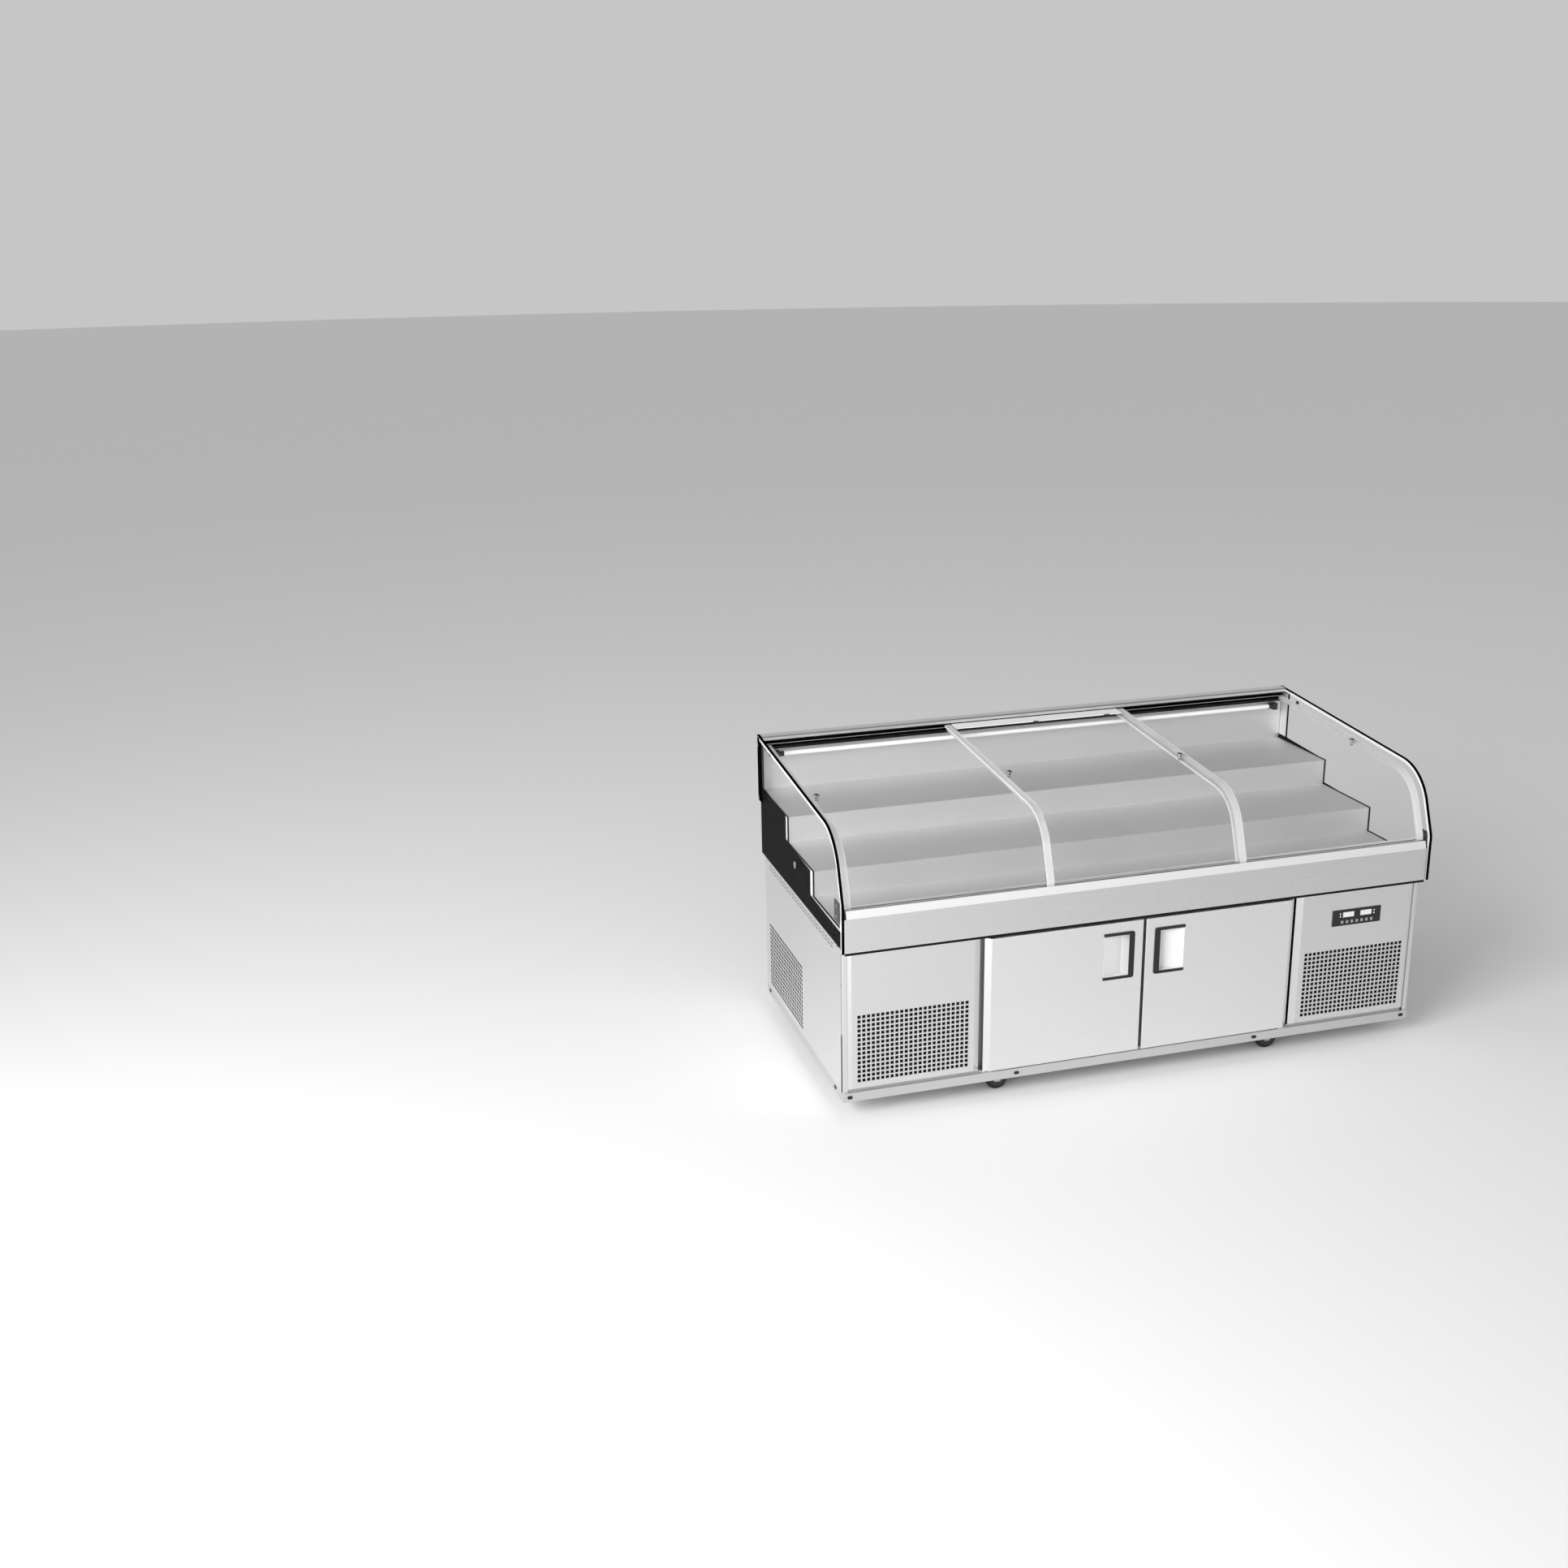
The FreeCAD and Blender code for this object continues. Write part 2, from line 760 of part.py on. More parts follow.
def cable_gland():
    """The supply cable's empty gland in the back sheet."""
    nut = hexagon(26, -6, 0)
    nut.rotate(V(0, 0, 0), V(1, 0, 0), 90)
    nut.translate(V(inlet_x, base_rear, inlet_z))
    barrel = rod(inlet_radius - 0.1, (inlet_x, base_rear - 12, inlet_z), (inlet_x, base_rear + 18, inlet_z))
    bore = rod(5, (inlet_x, base_rear - 20, inlet_z), (inlet_x, base_rear + 20, inlet_z))
    return join([nut, barrel]).cut(bore)


def rail_plugs():
    """Dark oval plugs in the bottom rail's fixing slots."""
    middle = (rail_low + rail_top) / 2
    proud = 1.5
    oval = [(-9, 0), (-6, -5), (6, -5), (9, 0), (6, 5), (-6, 5)]
    plugs = []
    for x in (-968, -418, 418, 968):
        outline = [(x + a, middle + b) for a, b in oval]
        plugs.append(front_profile(outline, base_front - proud, base_front))
    for y in (-360, 398):
        outline = [(y + a, middle + b) for a, b in oval]
        plugs.append(side_profile(outline, base_half, base_half + proud))
        plugs.append(side_profile(outline, -base_half - proud, -base_half))
    return Part.makeCompound(plugs)


# Castors


def castor_places():
    """Name and place of each swivel; all four wheels trail to the right, as after a push to the left."""
    return (
        ("front_left", -castor_x, castor_front),
        ("front_right", castor_x, castor_front),
        ("rear_left", -castor_x, castor_rear),
        ("rear_right", castor_x, castor_rear),
    )


def castor_plate(x, y):
    """Top plate with the swivel head's cup, bored for the stem."""
    plate = box(x - 40, x + 40, y - 32, y + 32, rail_top, pan_z)
    cup = box(x - 16, x + 16, y - 16, y + 16, 81, rail_top)
    bore = rod(stem_radius + fit_gap, (x, y, 80), (x, y, 92))
    return join([plate, cup]).cut(bore)


def castor_fork(x, y):
    """Stem, crown, two tapered legs and the axle, as one swivelling piece."""
    wheel_x = x + trail
    crown_low = 2 * wheel_radius + 1.5
    crown_high = crown_low + 3
    inside = wheel_width / 2 + 2
    outside = inside + 3
    stem = rod(stem_radius, (x, y, crown_low), (x, y, 90))
    collar = box(x - 13, x + 13, y - 13, y + 13, crown_high, 80)
    bridge = box(x - 13, wheel_x + 13, y - outside, y + outside, crown_low, crown_high)
    parts = [stem, collar, bridge]
    outline = [
        (x - 13, crown_low),
        (wheel_x + 13, crown_low),
        (wheel_x + 9, wheel_radius - 8),
        (wheel_x - 9, wheel_radius - 8),
    ]
    for y0 in (y - outside, y + inside):
        parts.append(front_profile(outline, y0, y0 + 3))
    end = outside + 2
    parts.append(rod(axle_radius, (wheel_x, y - end, wheel_radius), (wheel_x, y + end, wheel_radius)))
    return join(parts)


def castor_wheel(x, y):
    """Tyre and hub, bored for the axle."""
    w = wheel_width / 2
    r = wheel_radius
    bore = axle_radius + fit_gap
    sketch = [(bore, -w - 1), (r - 4, -w), (r, -w + 5), (r, w - 5), (r - 4, w), (bore, w + 1)]
    points = [V(a, b, 0) for a, b in sketch]
    wheel = Part.Face(Part.makePolygon(points + points[:1])).revolve(V(0, 0, 0), V(0, 1, 0), 360)
    wheel.translate(V(x + trail, y, wheel_radius))
    return wheel


def main():
    save("base_frame", base_frame())
    save_pair("side_panel_{}", side_panel())
    save("rear_panel", rear_panel())
    save("grille_panel_left", grille_panel())
    save("grille_panel_right", mirrored(grille_panel()).cut(controller_cutout()))
    save("storage_box", storage_box())
    save("door_mullion", door_mullion())
    save("wire_shelf", wire_shelf())
    save_pair("door_{}_shell", door_shell())
    save_pair("door_{}_liner", door_liner())
    save_pair("door_{}_gasket", door_gasket())
    save_pair("door_{}_handle", door_handle())
    save_pair("door_{}_pocket", door_pocket())
    save("door_hinges", door_hinges())
    save("tub_body", tub_body())
    save("step_liner", step_liner())
    save("front_fascia", front_fascia())
    save("fascia_seal", fascia_seal())
    save_pair("side_glass_{}", side_glass())
    save_pair("side_mask_{}", side_mask())
    save("glass_bolts", glass_bolts())
    save("rear_top_rail", rear_top_rail())
    save("upper_track", upper_track())
    save("front_rail", front_rail())
    save("front_rail_ends", front_rail_ends())
    save("rear_wall", rear_wall())
    save("sliding_glass_left", pane(-pane_reach, inner_inset))
    save("sliding_glass_middle", pane(-pane_width / 2, outer_inset))
    save("sliding_glass_right", pane(pane_reach - pane_width, inner_inset))
    save("knob_left", pane_knob(-951, inner_inset))
    middle_knobs = [pane_knob(-303, outer_inset), pane_knob(303, outer_inset)]
    save("knobs_middle", Part.makeCompound(middle_knobs))
    save("knob_right", pane_knob(951, inner_inset))
    save("lamp_tube", lamp())
    save("lamp_holders", lamp_holders())
    body, windows = controller()
    save("controller", body)
    save("controller_keys", windows)
    save_pair("condensing_unit_{}", condensing_unit())
    save_pair("fan_{}", fan())
    save("cable_gland", cable_gland())
    save("rail_plugs", rail_plugs())
    plates = [castor_plate(x, y) for name, x, y in castor_places()]
    save("castor_plates", Part.makeCompound(plates))
    for name, x, y in castor_places():
        save("castor_fork_" + name, castor_fork(x, y))
        save("castor_wheel_" + name, castor_wheel(x, y))


main()
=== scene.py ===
# %% [markdown]
# # A chilled display counter, dressed for a studio picture
#
# The construction model holds every load-bearing piece at its real size, but its faces are plain. In this
# lesson each visible surface gets the finish of the real thing: brushed stainless sheet, clear tempered
# glass, black print, rubber and moulded plastic. Pieces that need finer shape than the model holds, such
# as the perforated sheets and the bent panes with their clear edge seals, are modelled here by hand.

# %% Load the frame
import bpy
import bmesh
import math
from mathutils import Matrix, Vector


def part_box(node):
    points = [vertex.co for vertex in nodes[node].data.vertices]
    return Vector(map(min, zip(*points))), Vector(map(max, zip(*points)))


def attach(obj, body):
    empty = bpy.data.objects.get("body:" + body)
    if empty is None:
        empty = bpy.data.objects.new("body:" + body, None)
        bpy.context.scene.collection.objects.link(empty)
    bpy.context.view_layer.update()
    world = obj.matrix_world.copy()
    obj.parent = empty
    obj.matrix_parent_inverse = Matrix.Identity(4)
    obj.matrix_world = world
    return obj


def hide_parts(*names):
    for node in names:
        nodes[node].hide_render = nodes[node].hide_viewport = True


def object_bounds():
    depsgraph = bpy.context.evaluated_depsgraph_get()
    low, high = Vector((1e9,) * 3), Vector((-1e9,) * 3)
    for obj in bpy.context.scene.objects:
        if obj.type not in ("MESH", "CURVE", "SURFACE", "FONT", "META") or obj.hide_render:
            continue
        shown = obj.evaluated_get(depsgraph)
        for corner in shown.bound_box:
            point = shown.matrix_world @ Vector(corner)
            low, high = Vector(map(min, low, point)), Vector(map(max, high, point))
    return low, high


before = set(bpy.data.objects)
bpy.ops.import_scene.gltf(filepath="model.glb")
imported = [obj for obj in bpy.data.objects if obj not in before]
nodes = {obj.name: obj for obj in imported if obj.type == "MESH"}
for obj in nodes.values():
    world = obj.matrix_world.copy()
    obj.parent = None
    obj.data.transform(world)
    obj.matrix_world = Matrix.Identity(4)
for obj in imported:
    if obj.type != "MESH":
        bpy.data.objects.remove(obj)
cad_low, cad_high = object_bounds()
MM = 0.001

# %% [markdown]
# ## Camera
#
# The picture was taken with a longish lens from the front left, a little above the counter, with almost no
# tilt. A camera can be aimed by an Euler rotation or by a matrix. A matrix is used here because its
# columns are simply the camera's right, up and back directions, which azimuth, elevation and roll give.

# %% The photograph's camera
camera_place = Vector((-2.423, -4.999, 2.604))
lens_mm = 39.84
azimuth = math.radians(-15.48)
elevation = math.radians(17.59)
roll = math.radians(-1.02)

level = math.cos(elevation)
back = Vector((math.sin(azimuth) * level, -math.cos(azimuth) * level, math.sin(elevation)))
side = (-back).cross(Vector((0, 0, 1))).normalized()
top = side.cross(-back)
right = math.cos(roll) * side + math.sin(roll) * top
up = math.cos(roll) * top - math.sin(roll) * side

camera = bpy.data.objects.new("studio_camera", bpy.data.cameras.new("studio_camera"))
bpy.context.scene.collection.objects.link(camera)
camera.data.sensor_width = 36.0
camera.data.lens = lens_mm
camera.matrix_world = Matrix.Translation(camera_place) @ Matrix((right, up, back)).transposed().to_4x4()
bpy.context.scene.camera = camera
print("camera height:", round(camera_place.z, 2), "m, lens:", lens_mm, "mm")

# %% [markdown]
# ## Two small tools for materials
#
# A material is a tree of nodes. Written out by hand each node takes several lines, so one small function
# adds any node with its settings and fills its sockets with a value or a link. Colours are given
# as sRGB hex values, as they look on a screen, and one function turns them into the linear values that
# light is computed with.


# %% Colour and node helpers
def linear(hex_colour):
    """The linear RGBA of an sRGB colour such as #C8C8C8."""
    shares = [int(hex_colour[i:i + 2], 16) / 255 for i in (1, 3, 5)]
    return tuple(s / 12.92 if s <= 0.04045 else ((s + 0.055) / 1.055) ** 2.4 for s in shares) + (1.0,)


def add(tree, kind, sockets=None, **settings):
    """Add a shader node, with its settings, and a value or a link for each named socket."""
    node = tree.nodes.new("ShaderNode" + kind)
    for name, value in settings.items():
        setattr(node, name, value)
    for name, value in (sockets or {}).items():
        if isinstance(value, bpy.types.NodeSocket):
            tree.links.new(value, node.inputs[name])
        else:
            node.inputs[name].default_value = value
    return node


def new_material(name):
    """An empty material: its node tree and its output node."""
    material = bpy.data.materials.new(name)
    material.use_nodes = True
    material.node_tree.nodes.clear()
    return material, material.node_tree, add(material.node_tree, "OutputMaterial")


def between(tree, factor, low, high):
    """A number that runs from low to high as factor runs from 0 to 1."""
    return add(tree, "MapRange", {"Value": factor, "To Min": low, "To Max": high}).outputs[0]


def shades(tree, factor, low, high):
    """A colour that runs from one hex colour to another as factor runs from 0 to 1."""
    ramp = add(tree, "ValToRGB", {"Fac": factor})
    ramp.color_ramp.elements[0].color = linear(low)
    ramp.color_ramp.elements[1].color = linear(high)
    return ramp.outputs[0]


# %% [markdown]
# ## Brushed stainless steel
#
# The casing is 304 stainless sheet with a satin belt finish. The belt leaves fine parallel scratches, so
# the metal mirrors its surroundings softly, and a little more along the scratches than across them. The
# real scratches are about 0.1 mm apart and can't show at this distance. A noise texture stretched along
# the grain draws them about 3 mm apart instead, faintly, in the colour, the roughness and a small bump.
# A slow second noise stands for the handling and rolling marks that keep a large sheet from looking flat.


# %% Brushed stainless
def brushed_steel(name, dark, light, roughness, grain="X", scratch_mm=3.0):
    """Satin stainless sheet, with its grain along one axis of the object."""
    material, tree, output = new_material(name)
    place = add(tree, "TexCoord").outputs["Object"]
    stretch = [1.0 / (scratch_mm * MM)] * 3
    stretch["XYZ".index(grain)] = 1.0 / (220 * MM)
    along = add(tree, "Mapping", {"Vector": place, "Scale": stretch}).outputs[0]
    scratches = add(tree, "TexNoise", {"Vector": along, "Scale": 1.0, "Detail": 3.0, "Roughness": 0.6}).outputs[0]
    cloud = add(tree, "TexNoise", {"Vector": place, "Scale": 1 / (600 * MM), "Detail": 1.0}).outputs[0]
    mixed = add(tree, "Mix", {"Factor": 0.35, "A": scratches, "B": cloud}, data_type="FLOAT").outputs[0]
    bump = add(tree, "Bump", {"Height": scratches, "Strength": 0.04, "Distance": 0.3 * MM}).outputs[0]
    metal = add(tree, "BsdfPrincipled", {
        "Base Color": shades(tree, mixed, dark, light),
        "Metallic": 1.0,
        "Roughness": between(tree, scratches, roughness - 0.05, roughness + 0.05),
        "Normal": bump,
    })
    tree.links.new(metal.outputs[0], output.inputs["Surface"])
    return material


# The fascia and the front rail are one stainless. The fascia gets a darker copy of it, painted shade, and the rail a
# near-white copy, painted light, so that the line between them shows. The track lips take the rail's lighter copy.
panel_steel = brushed_steel("satin_stainless_sheet", "#DCDCDC", "#E6E6E6", 0.30)
door_steel = brushed_steel("satin_stainless_door", "#E8E8E8", "#F2F2F2", 0.30)
fascia_steel_painted_shade = brushed_steel("satin_stainless_fascia_painted_shade", "#D6D6D6", "#E0E0E0", 0.28)
rail_steel_painted_light = brushed_steel("stainless_rail_painted_light", "#F8F8F8", "#FDFDFD", 0.26)
liner_steel = brushed_steel("smooth_stainless_liner", "#DADADA", "#E6E6E6", 0.60)
frame_steel = brushed_steel("folded_stainless_rail", "#CCCCCC", "#D8D8D8", 0.34)

# %% [markdown]
# ## Clear glass
#
# Tempered soda-lime glass is colourless through its face and mirrors its surroundings at a glancing angle.
# A full glass shader bends light and takes many bounces to let any through, which leaves the bed dark. A
# thin flat pane barely bends light, so a transparent shader with a thin mirror over it looks the same and
# stays bright. The mirror grows towards a glancing angle by Schlick's rule: a base share plus the fifth
# power of the slant. The Fresnel node would do it too, but it treats the back of each face as the way out of
# solid glass and mirrors everything there. The same recipe with some milk in it makes the clear plastic
# profiles on the edges of the panes.


# %% Tempered glass and clear plastic
def clear_sheet(name, tint, milk, mirror_low, mirror_high, roughness):
    """See-through sheet: tint colours what shows through, milk is the share of light that it scatters."""
    material, tree, output = new_material(name)
    place = add(tree, "TexCoord").outputs["Object"]
    cloud = add(tree, "TexNoise", {"Vector": place, "Scale": 1 / (300 * MM), "Detail": 1.0}).outputs[0]
    open_way = add(tree, "BsdfTransparent", {"Color": linear(tint)})
    body = add(tree, "BsdfDiffuse", {"Color": shades(tree, cloud, "#F2F2F2", "#FDFDFD")})
    cloudy = add(tree, "MixShader", {"Fac": between(tree, cloud, milk * 0.8, milk * 1.2)})
    tree.links.new(open_way.outputs[0], cloudy.inputs[1])
    tree.links.new(body.outputs[0], cloudy.inputs[2])
    mirror = add(tree, "BsdfGlossy", {"Color": linear("#FFFFFF"), "Roughness": roughness})
    slant = add(tree, "LayerWeight", {"Blend": 0.5}).outputs["Facing"]
    steep = add(tree, "Math", {0: slant, 1: 5.0}, operation="POWER").outputs[0]
    mix = add(tree, "MixShader", {"Fac": between(tree, steep, mirror_low, mirror_high)})
    tree.links.new(cloudy.outputs[0], mix.inputs[1])
    tree.links.new(mirror.outputs[0], mix.inputs[2])
    tree.links.new(mix.outputs[0], output.inputs["Surface"])
    return material


pane_glass = clear_sheet("tempered_glass", "#FFFFFF", 0.001, 0.003, 0.05, 0.02)
seal_plastic = clear_sheet("clear_pvc_profile", "#FCFCFC", 0.42, 0.03, 0.4, 0.1)
# A milkier copy paints the highlight along the lit edges of the end glasses.
edge_highlight_sheet = clear_sheet("ground_glass_edge", "#FAFAFA", 0.45, 0.02, 0.2, 0.3)

# %% [markdown]
# ## Plastics, rubber and print
#
# Moulded plastic and rubber share one recipe: a dielectric whose colour is nearly even, whose gloss breaks
# up with the fine grain of the mould, and whose surface has a slight bump of the same grain. What sets
# them apart is how rough they are and how deep the grain goes.


# %% Moulded finishes
def moulded(name, dark, light, roughness, grain_mm, bump_mm, shine=0.5):
    """A plastic, rubber or print; shine is its specular level, 0.5 for a plain plastic."""
    material, tree, output = new_material(name)
    place = add(tree, "TexCoord").outputs["Object"]
    grain = add(tree, "TexNoise", {"Vector": place, "Scale": 1 / (grain_mm * MM), "Detail": 2.0}).outputs[0]
    bump = add(tree, "Bump", {"Height": grain, "Strength": 0.3, "Distance": bump_mm * MM}).outputs[0]
    body = add(tree, "BsdfPrincipled", {
        "Base Color": shades(tree, grain, dark, light),
        "Roughness": between(tree, grain, roughness - 0.06, roughness + 0.06),
        "Specular IOR Level": shine,
        "Normal": bump,
    })
    tree.links.new(body.outputs[0], output.inputs["Surface"])
    return material


black_print = moulded("black_ceramic_print", "#030303", "#070707", 0.3, 40, 0.0, 0.0)
black_track = moulded("black_anodised_channel", "#040404", "#0A0A0A", 0.35, 4, 0.02, 0.25)
black_nylon = moulded("black_glass_filled_nylon", "#0B0B0B", "#161616", 0.42, 1.5, 0.03)
clamp_nylon = moulded("grey_nylon_clamp", "#2C2C2C", "#3A3A3A", 0.45, 1.5, 0.03)
pocket_abs = moulded("pale_abs_cup", "#DADADA", "#E6E6E6", 0.38, 2, 0.02)
liner_hips = moulded("white_formed_polystyrene", "#E4E4E2", "#EFEFED", 0.32, 8, 0.02)
seal_rubber = moulded("black_epdm_strip", "#040404", "#0A0A0A", 0.62, 2, 0.03, 0.2)
gasket_pvc = moulded("grey_pvc_gasket", "#5E5E60", "#6C6C6E", 0.5, 3, 0.03)
case_abs = moulded("black_abs_case", "#101010", "#181818", 0.4, 1.5, 0.03)
black_enamel = moulded("black_enamelled_steel", "#0C0C0D", "#161617", 0.3, 5, 0.02)
fan_plastic = moulded("dark_polypropylene", "#18181A", "#222224", 0.45, 2, 0.02)
plug_rubber = moulded("black_push_in_plug", "#060606", "#0C0C0C", 0.5, 2, 0.02)
slider_plastic = moulded("white_acetal_slider", "#EDEDEC", "#F6F6F5", 0.25, 6, 0.01)
foam_skin = moulded("white_coated_skin", "#DCDCDA", "#E6E6E4", 0.4, 10, 0.02)
lamp_cover = moulded("frosted_polycarbonate", "#F4F4F2", "#FAFAF8", 0.3, 10, 0.0)
display_film = moulded("display_window", "#D8DAD8", "#ECEEEC", 0.25, 4, 0.0)
key_print = moulded("grey_key_print", "#8C8C8C", "#A6A6A6", 0.5, 3, 0.01)
# Black foam as painted shade behind the punched holes and slots.
dark_shade_foam = moulded("black_painted_shade_foam", "#020202", "#060606", 0.95, 2, 0.2)

# %% [markdown]
# ## Plated metal
#
# The knobs and caps are chromed brass, a nearly perfect mirror. Castors, hinges and brackets are pressed
# steel with bright zinc, which looks like chrome seen through a thin cloud: duller and slightly patchy.


# %% Plated metals
def plated(name, dark, light, low_rough, high_rough, patch_mm):
    material, tree, output = new_material(name)
    place = add(tree, "TexCoord").outputs["Object"]
    patch = add(tree, "TexNoise", {"Vector": place, "Scale": 1 / (patch_mm * MM), "Detail": 3.0}).outputs[0]
    metal = add(tree, "BsdfPrincipled", {
        "Base Color": shades(tree, patch, dark, light),
        "Metallic": 1.0,
        "Roughness": between(tree, patch, low_rough, high_rough),
    })
    tree.links.new(metal.outputs[0], output.inputs["Surface"])
    return material


chrome = plated("chromed_brass", "#98989A", "#B6B6B8", 0.06, 0.12, 8)
zinc = plated("zinc_plated_steel", "#9A9CA0", "#C6C8CC", 0.28, 0.42, 12)
wire_coat = plated("zinc_plated_wire", "#C4C6C8", "#E0E2E4", 0.2, 0.3, 10)

# %% [markdown]
# ## Tyre and hub
#
# A castor wheel is a dark moulded hub with a black rubber tyre round it. One node holds both, so the
# material tells them apart by the distance from the axle, which a mapping node centred on it gives.


# %% Castor wheel finish
def wheel_finish(node):
    low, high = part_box(node)
    centre = (low + high) / 2
    hub_radius = 0.7 * (high.z - low.z) / 2
    material, tree, output = new_material("tyre_and_hub_" + node)
    place = add(tree, "TexCoord").outputs["Object"]
    shift = add(tree, "Mapping", {"Vector": place, "Location": -centre, "Scale": (1, 0, 1)})
    shift.inputs["Location"].default_value = (-centre.x, 0, -centre.z)
    radius = add(tree, "VectorMath", {0: shift.outputs[0]}, operation="LENGTH").outputs["Value"]
    is_tyre = add(tree, "Math", {0: radius, 1: hub_radius}, operation="GREATER_THAN").outputs[0]
    grain = add(tree, "TexNoise", {"Vector": place, "Scale": 1 / (2 * MM), "Detail": 2.0}).outputs[0]
    colour = add(tree, "Mix", {
        "Factor": is_tyre, "A": shades(tree, grain, "#202022", "#2C2C2E"), "B": shades(tree, grain, "#080808", "#101010"),
    }, data_type="RGBA")
    body = add(tree, "BsdfPrincipled", {"Roughness": between(tree, is_tyre, 0.4, 0.62)})
    tree.links.new(colour.outputs[2], body.inputs["Base Color"])
    tree.links.new(body.outputs[0], output.inputs["Surface"])
    return material


# %% [markdown]
# ## Dress the construction model
#
# Each node of the construction model keeps its shape and gets its finish here, listed by material, so the
# list reads as the counter's bill of materials.


# %% Give each node its material
def dress(piece, material):
    piece.data.materials.clear()
    piece.data.materials.append(material)


CORNERS = ("front_left", "front_right", "rear_left", "rear_right")
SIDES = ("left", "right")
finishes = {
    panel_steel: ["rear_panel", "rear_wall", "door_mullion", "rear_top_rail"],
    fascia_steel_painted_shade: ["front_fascia"],
    rail_steel_painted_light: ["front_rail"],
    door_steel: ["door_left_shell", "door_right_shell"],
    liner_steel: ["step_liner", "storage_box"],
    frame_steel: ["base_frame"],
    foam_skin: ["tub_body"],
    black_track: ["upper_track"],
    seal_rubber: ["fascia_seal"],
    clamp_nylon: ["front_rail_ends"],
    chrome: ["glass_bolts", "knob_left", "knobs_middle", "knob_right"],
    zinc: ["door_hinges", "castor_plates"],
    wire_coat: ["wire_shelf"],
    lamp_cover: ["lamp_tube"],
    case_abs: ["lamp_holders", "controller"],
    display_film: ["controller_keys"],
    plug_rubber: ["cable_gland", "rail_plugs"],
    pane_glass: ["sliding_glass_left", "sliding_glass_middle", "sliding_glass_right"],
}
for hand in SIDES:
    finishes[panel_steel] += [f"side_panel_{hand}", f"grille_panel_{hand}"]
    finishes[liner_hips] = finishes.get(liner_hips, []) + [f"door_{hand}_liner"]
    finishes[gasket_pvc] = finishes.get(gasket_pvc, []) + [f"door_{hand}_gasket"]
    finishes[black_nylon] = finishes.get(black_nylon, []) + [f"door_{hand}_handle"]
    finishes[pocket_abs] = finishes.get(pocket_abs, []) + [f"door_{hand}_pocket"]
    finishes[pane_glass] += [f"side_glass_{hand}"]
    finishes[black_print] = finishes.get(black_print, []) + [f"side_mask_{hand}"]
    finishes[black_enamel] = finishes.get(black_enamel, []) + [f"condensing_unit_{hand}"]
    finishes[fan_plastic] = finishes.get(fan_plastic, []) + [f"fan_{hand}"]
for corner in CORNERS:
    finishes[zinc] += [f"castor_fork_{corner}"]
    finishes[wheel_finish(f"castor_wheel_{corner}")] = [f"castor_wheel_{corner}"]
for material, names in finishes.items():
    for name in names:
        dress(nodes[name], material)
dressed = {name for names in finishes.values() for name in names}
print("dressed:", len(dressed), "left plain:", sorted(set(nodes) - dressed))

# %% [markdown]
# ## Modelling by hand, in code
#
# New pieces are made as in Blender's window: add a primitive, select some of its faces or edges, extrude,
# inset or spin them, and finish with modifiers. With no window the mouse is replaced by a test: a face or
# an edge is picked by where its middle lies and which way it points.


# %% Helpers for modelling
def primitive(kind, stretch=(1, 1, 1), **settings):
    """Add one primitive on its own, stretch it along its own axes, and put its place in its mesh."""
    if bpy.context.object and bpy.context.object.mode != "OBJECT":
        bpy.ops.object.mode_set(mode="OBJECT")
    bpy.ops.object.select_all(action="DESELECT")
    getattr(bpy.ops.mesh, f"primitive_{kind}_add")(**settings)
    bpy.context.object.scale = stretch
    bpy.ops.object.transform_apply(location=True, rotation=True, scale=True)
    return bpy.context.object


def block(low, high):
    """A box between two corners, as a start for shaping."""
    low, high = Vector(low), Vector(high)
    return primitive("cube", high - low, size=1, location=(low + high) / 2)


def pick(kind, test):
    """In edit mode, select only the faces or edges whose middle and direction pass the test."""
    mesh = bpy.context.object.data
    bpy.ops.object.mode_set(mode="OBJECT")
    bpy.context.tool_settings.mesh_select_mode = (False, kind == "edges", kind == "faces")
    for group in (mesh.vertices, mesh.edges, mesh.polygons):
        group.foreach_set("select", [False] * len(group))
    if kind == "faces":
        for face in mesh.polygons:
            face.select = test(face.center, face.normal)
    else:
        for edge in mesh.edges:
            start, end = (mesh.vertices[i].co for i in edge.vertices)
            edge.select = test((start + end) / 2, (end - start).normalized())
    bpy.ops.object.mode_set(mode="EDIT")


def extrude(shift):
    bpy.ops.mesh.extrude_region_move(TRANSFORM_OT_translate={"value": shift})


def modify(kind, **settings):
    """Add a modifier to the active piece and apply it."""
    bpy.ops.object.mode_set(mode="OBJECT")
    piece = bpy.context.object
    modifier = piece.modifiers.new(kind.lower(), kind)
    for name, value in settings.items():
        setattr(modifier, name, value)
    bpy.ops.object.modifier_apply(modifier=modifier.name)


def complete(name, material, body, stands_for=(), smooth=None):
    """Name and dress the active piece, and hang it on its body."""
    piece = bpy.context.object
    bpy.ops.object.mode_set(mode="OBJECT")
    bpy.ops.object.transform_apply(location=True, rotation=True, scale=True)
    piece.name = piece.data.name = name
    if smooth:
        bpy.ops.object.shade_smooth_by_angle(angle=math.radians(smooth))
    dress(piece, material)
    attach(piece, body)
    if stands_for:
        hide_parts(*stands_for)
    print(name, len(piece.data.polygons), "faces")
    return piece


# %% [markdown]
# ## Perforated sheets
#
# The machine panels are punched with 10 mm square holes on a 15.2 mm pitch, 24 across and 15 down. Cutting
# them one by one with booleans is slow and leaves untidy faces. A grid with one square per hole is quicker:
# every square is inset by itself, the inner squares are deleted, and what is left is the web between the
# holes. Its rim is then extruded out to the sheet's edges, and Solidify gives the sheet its thickness.

# %% The web between the holes
HOLE_PITCH = 15.2 * MM
HOLE_SIDE = 10.4 * MM
HAIR = 0.01 * MM


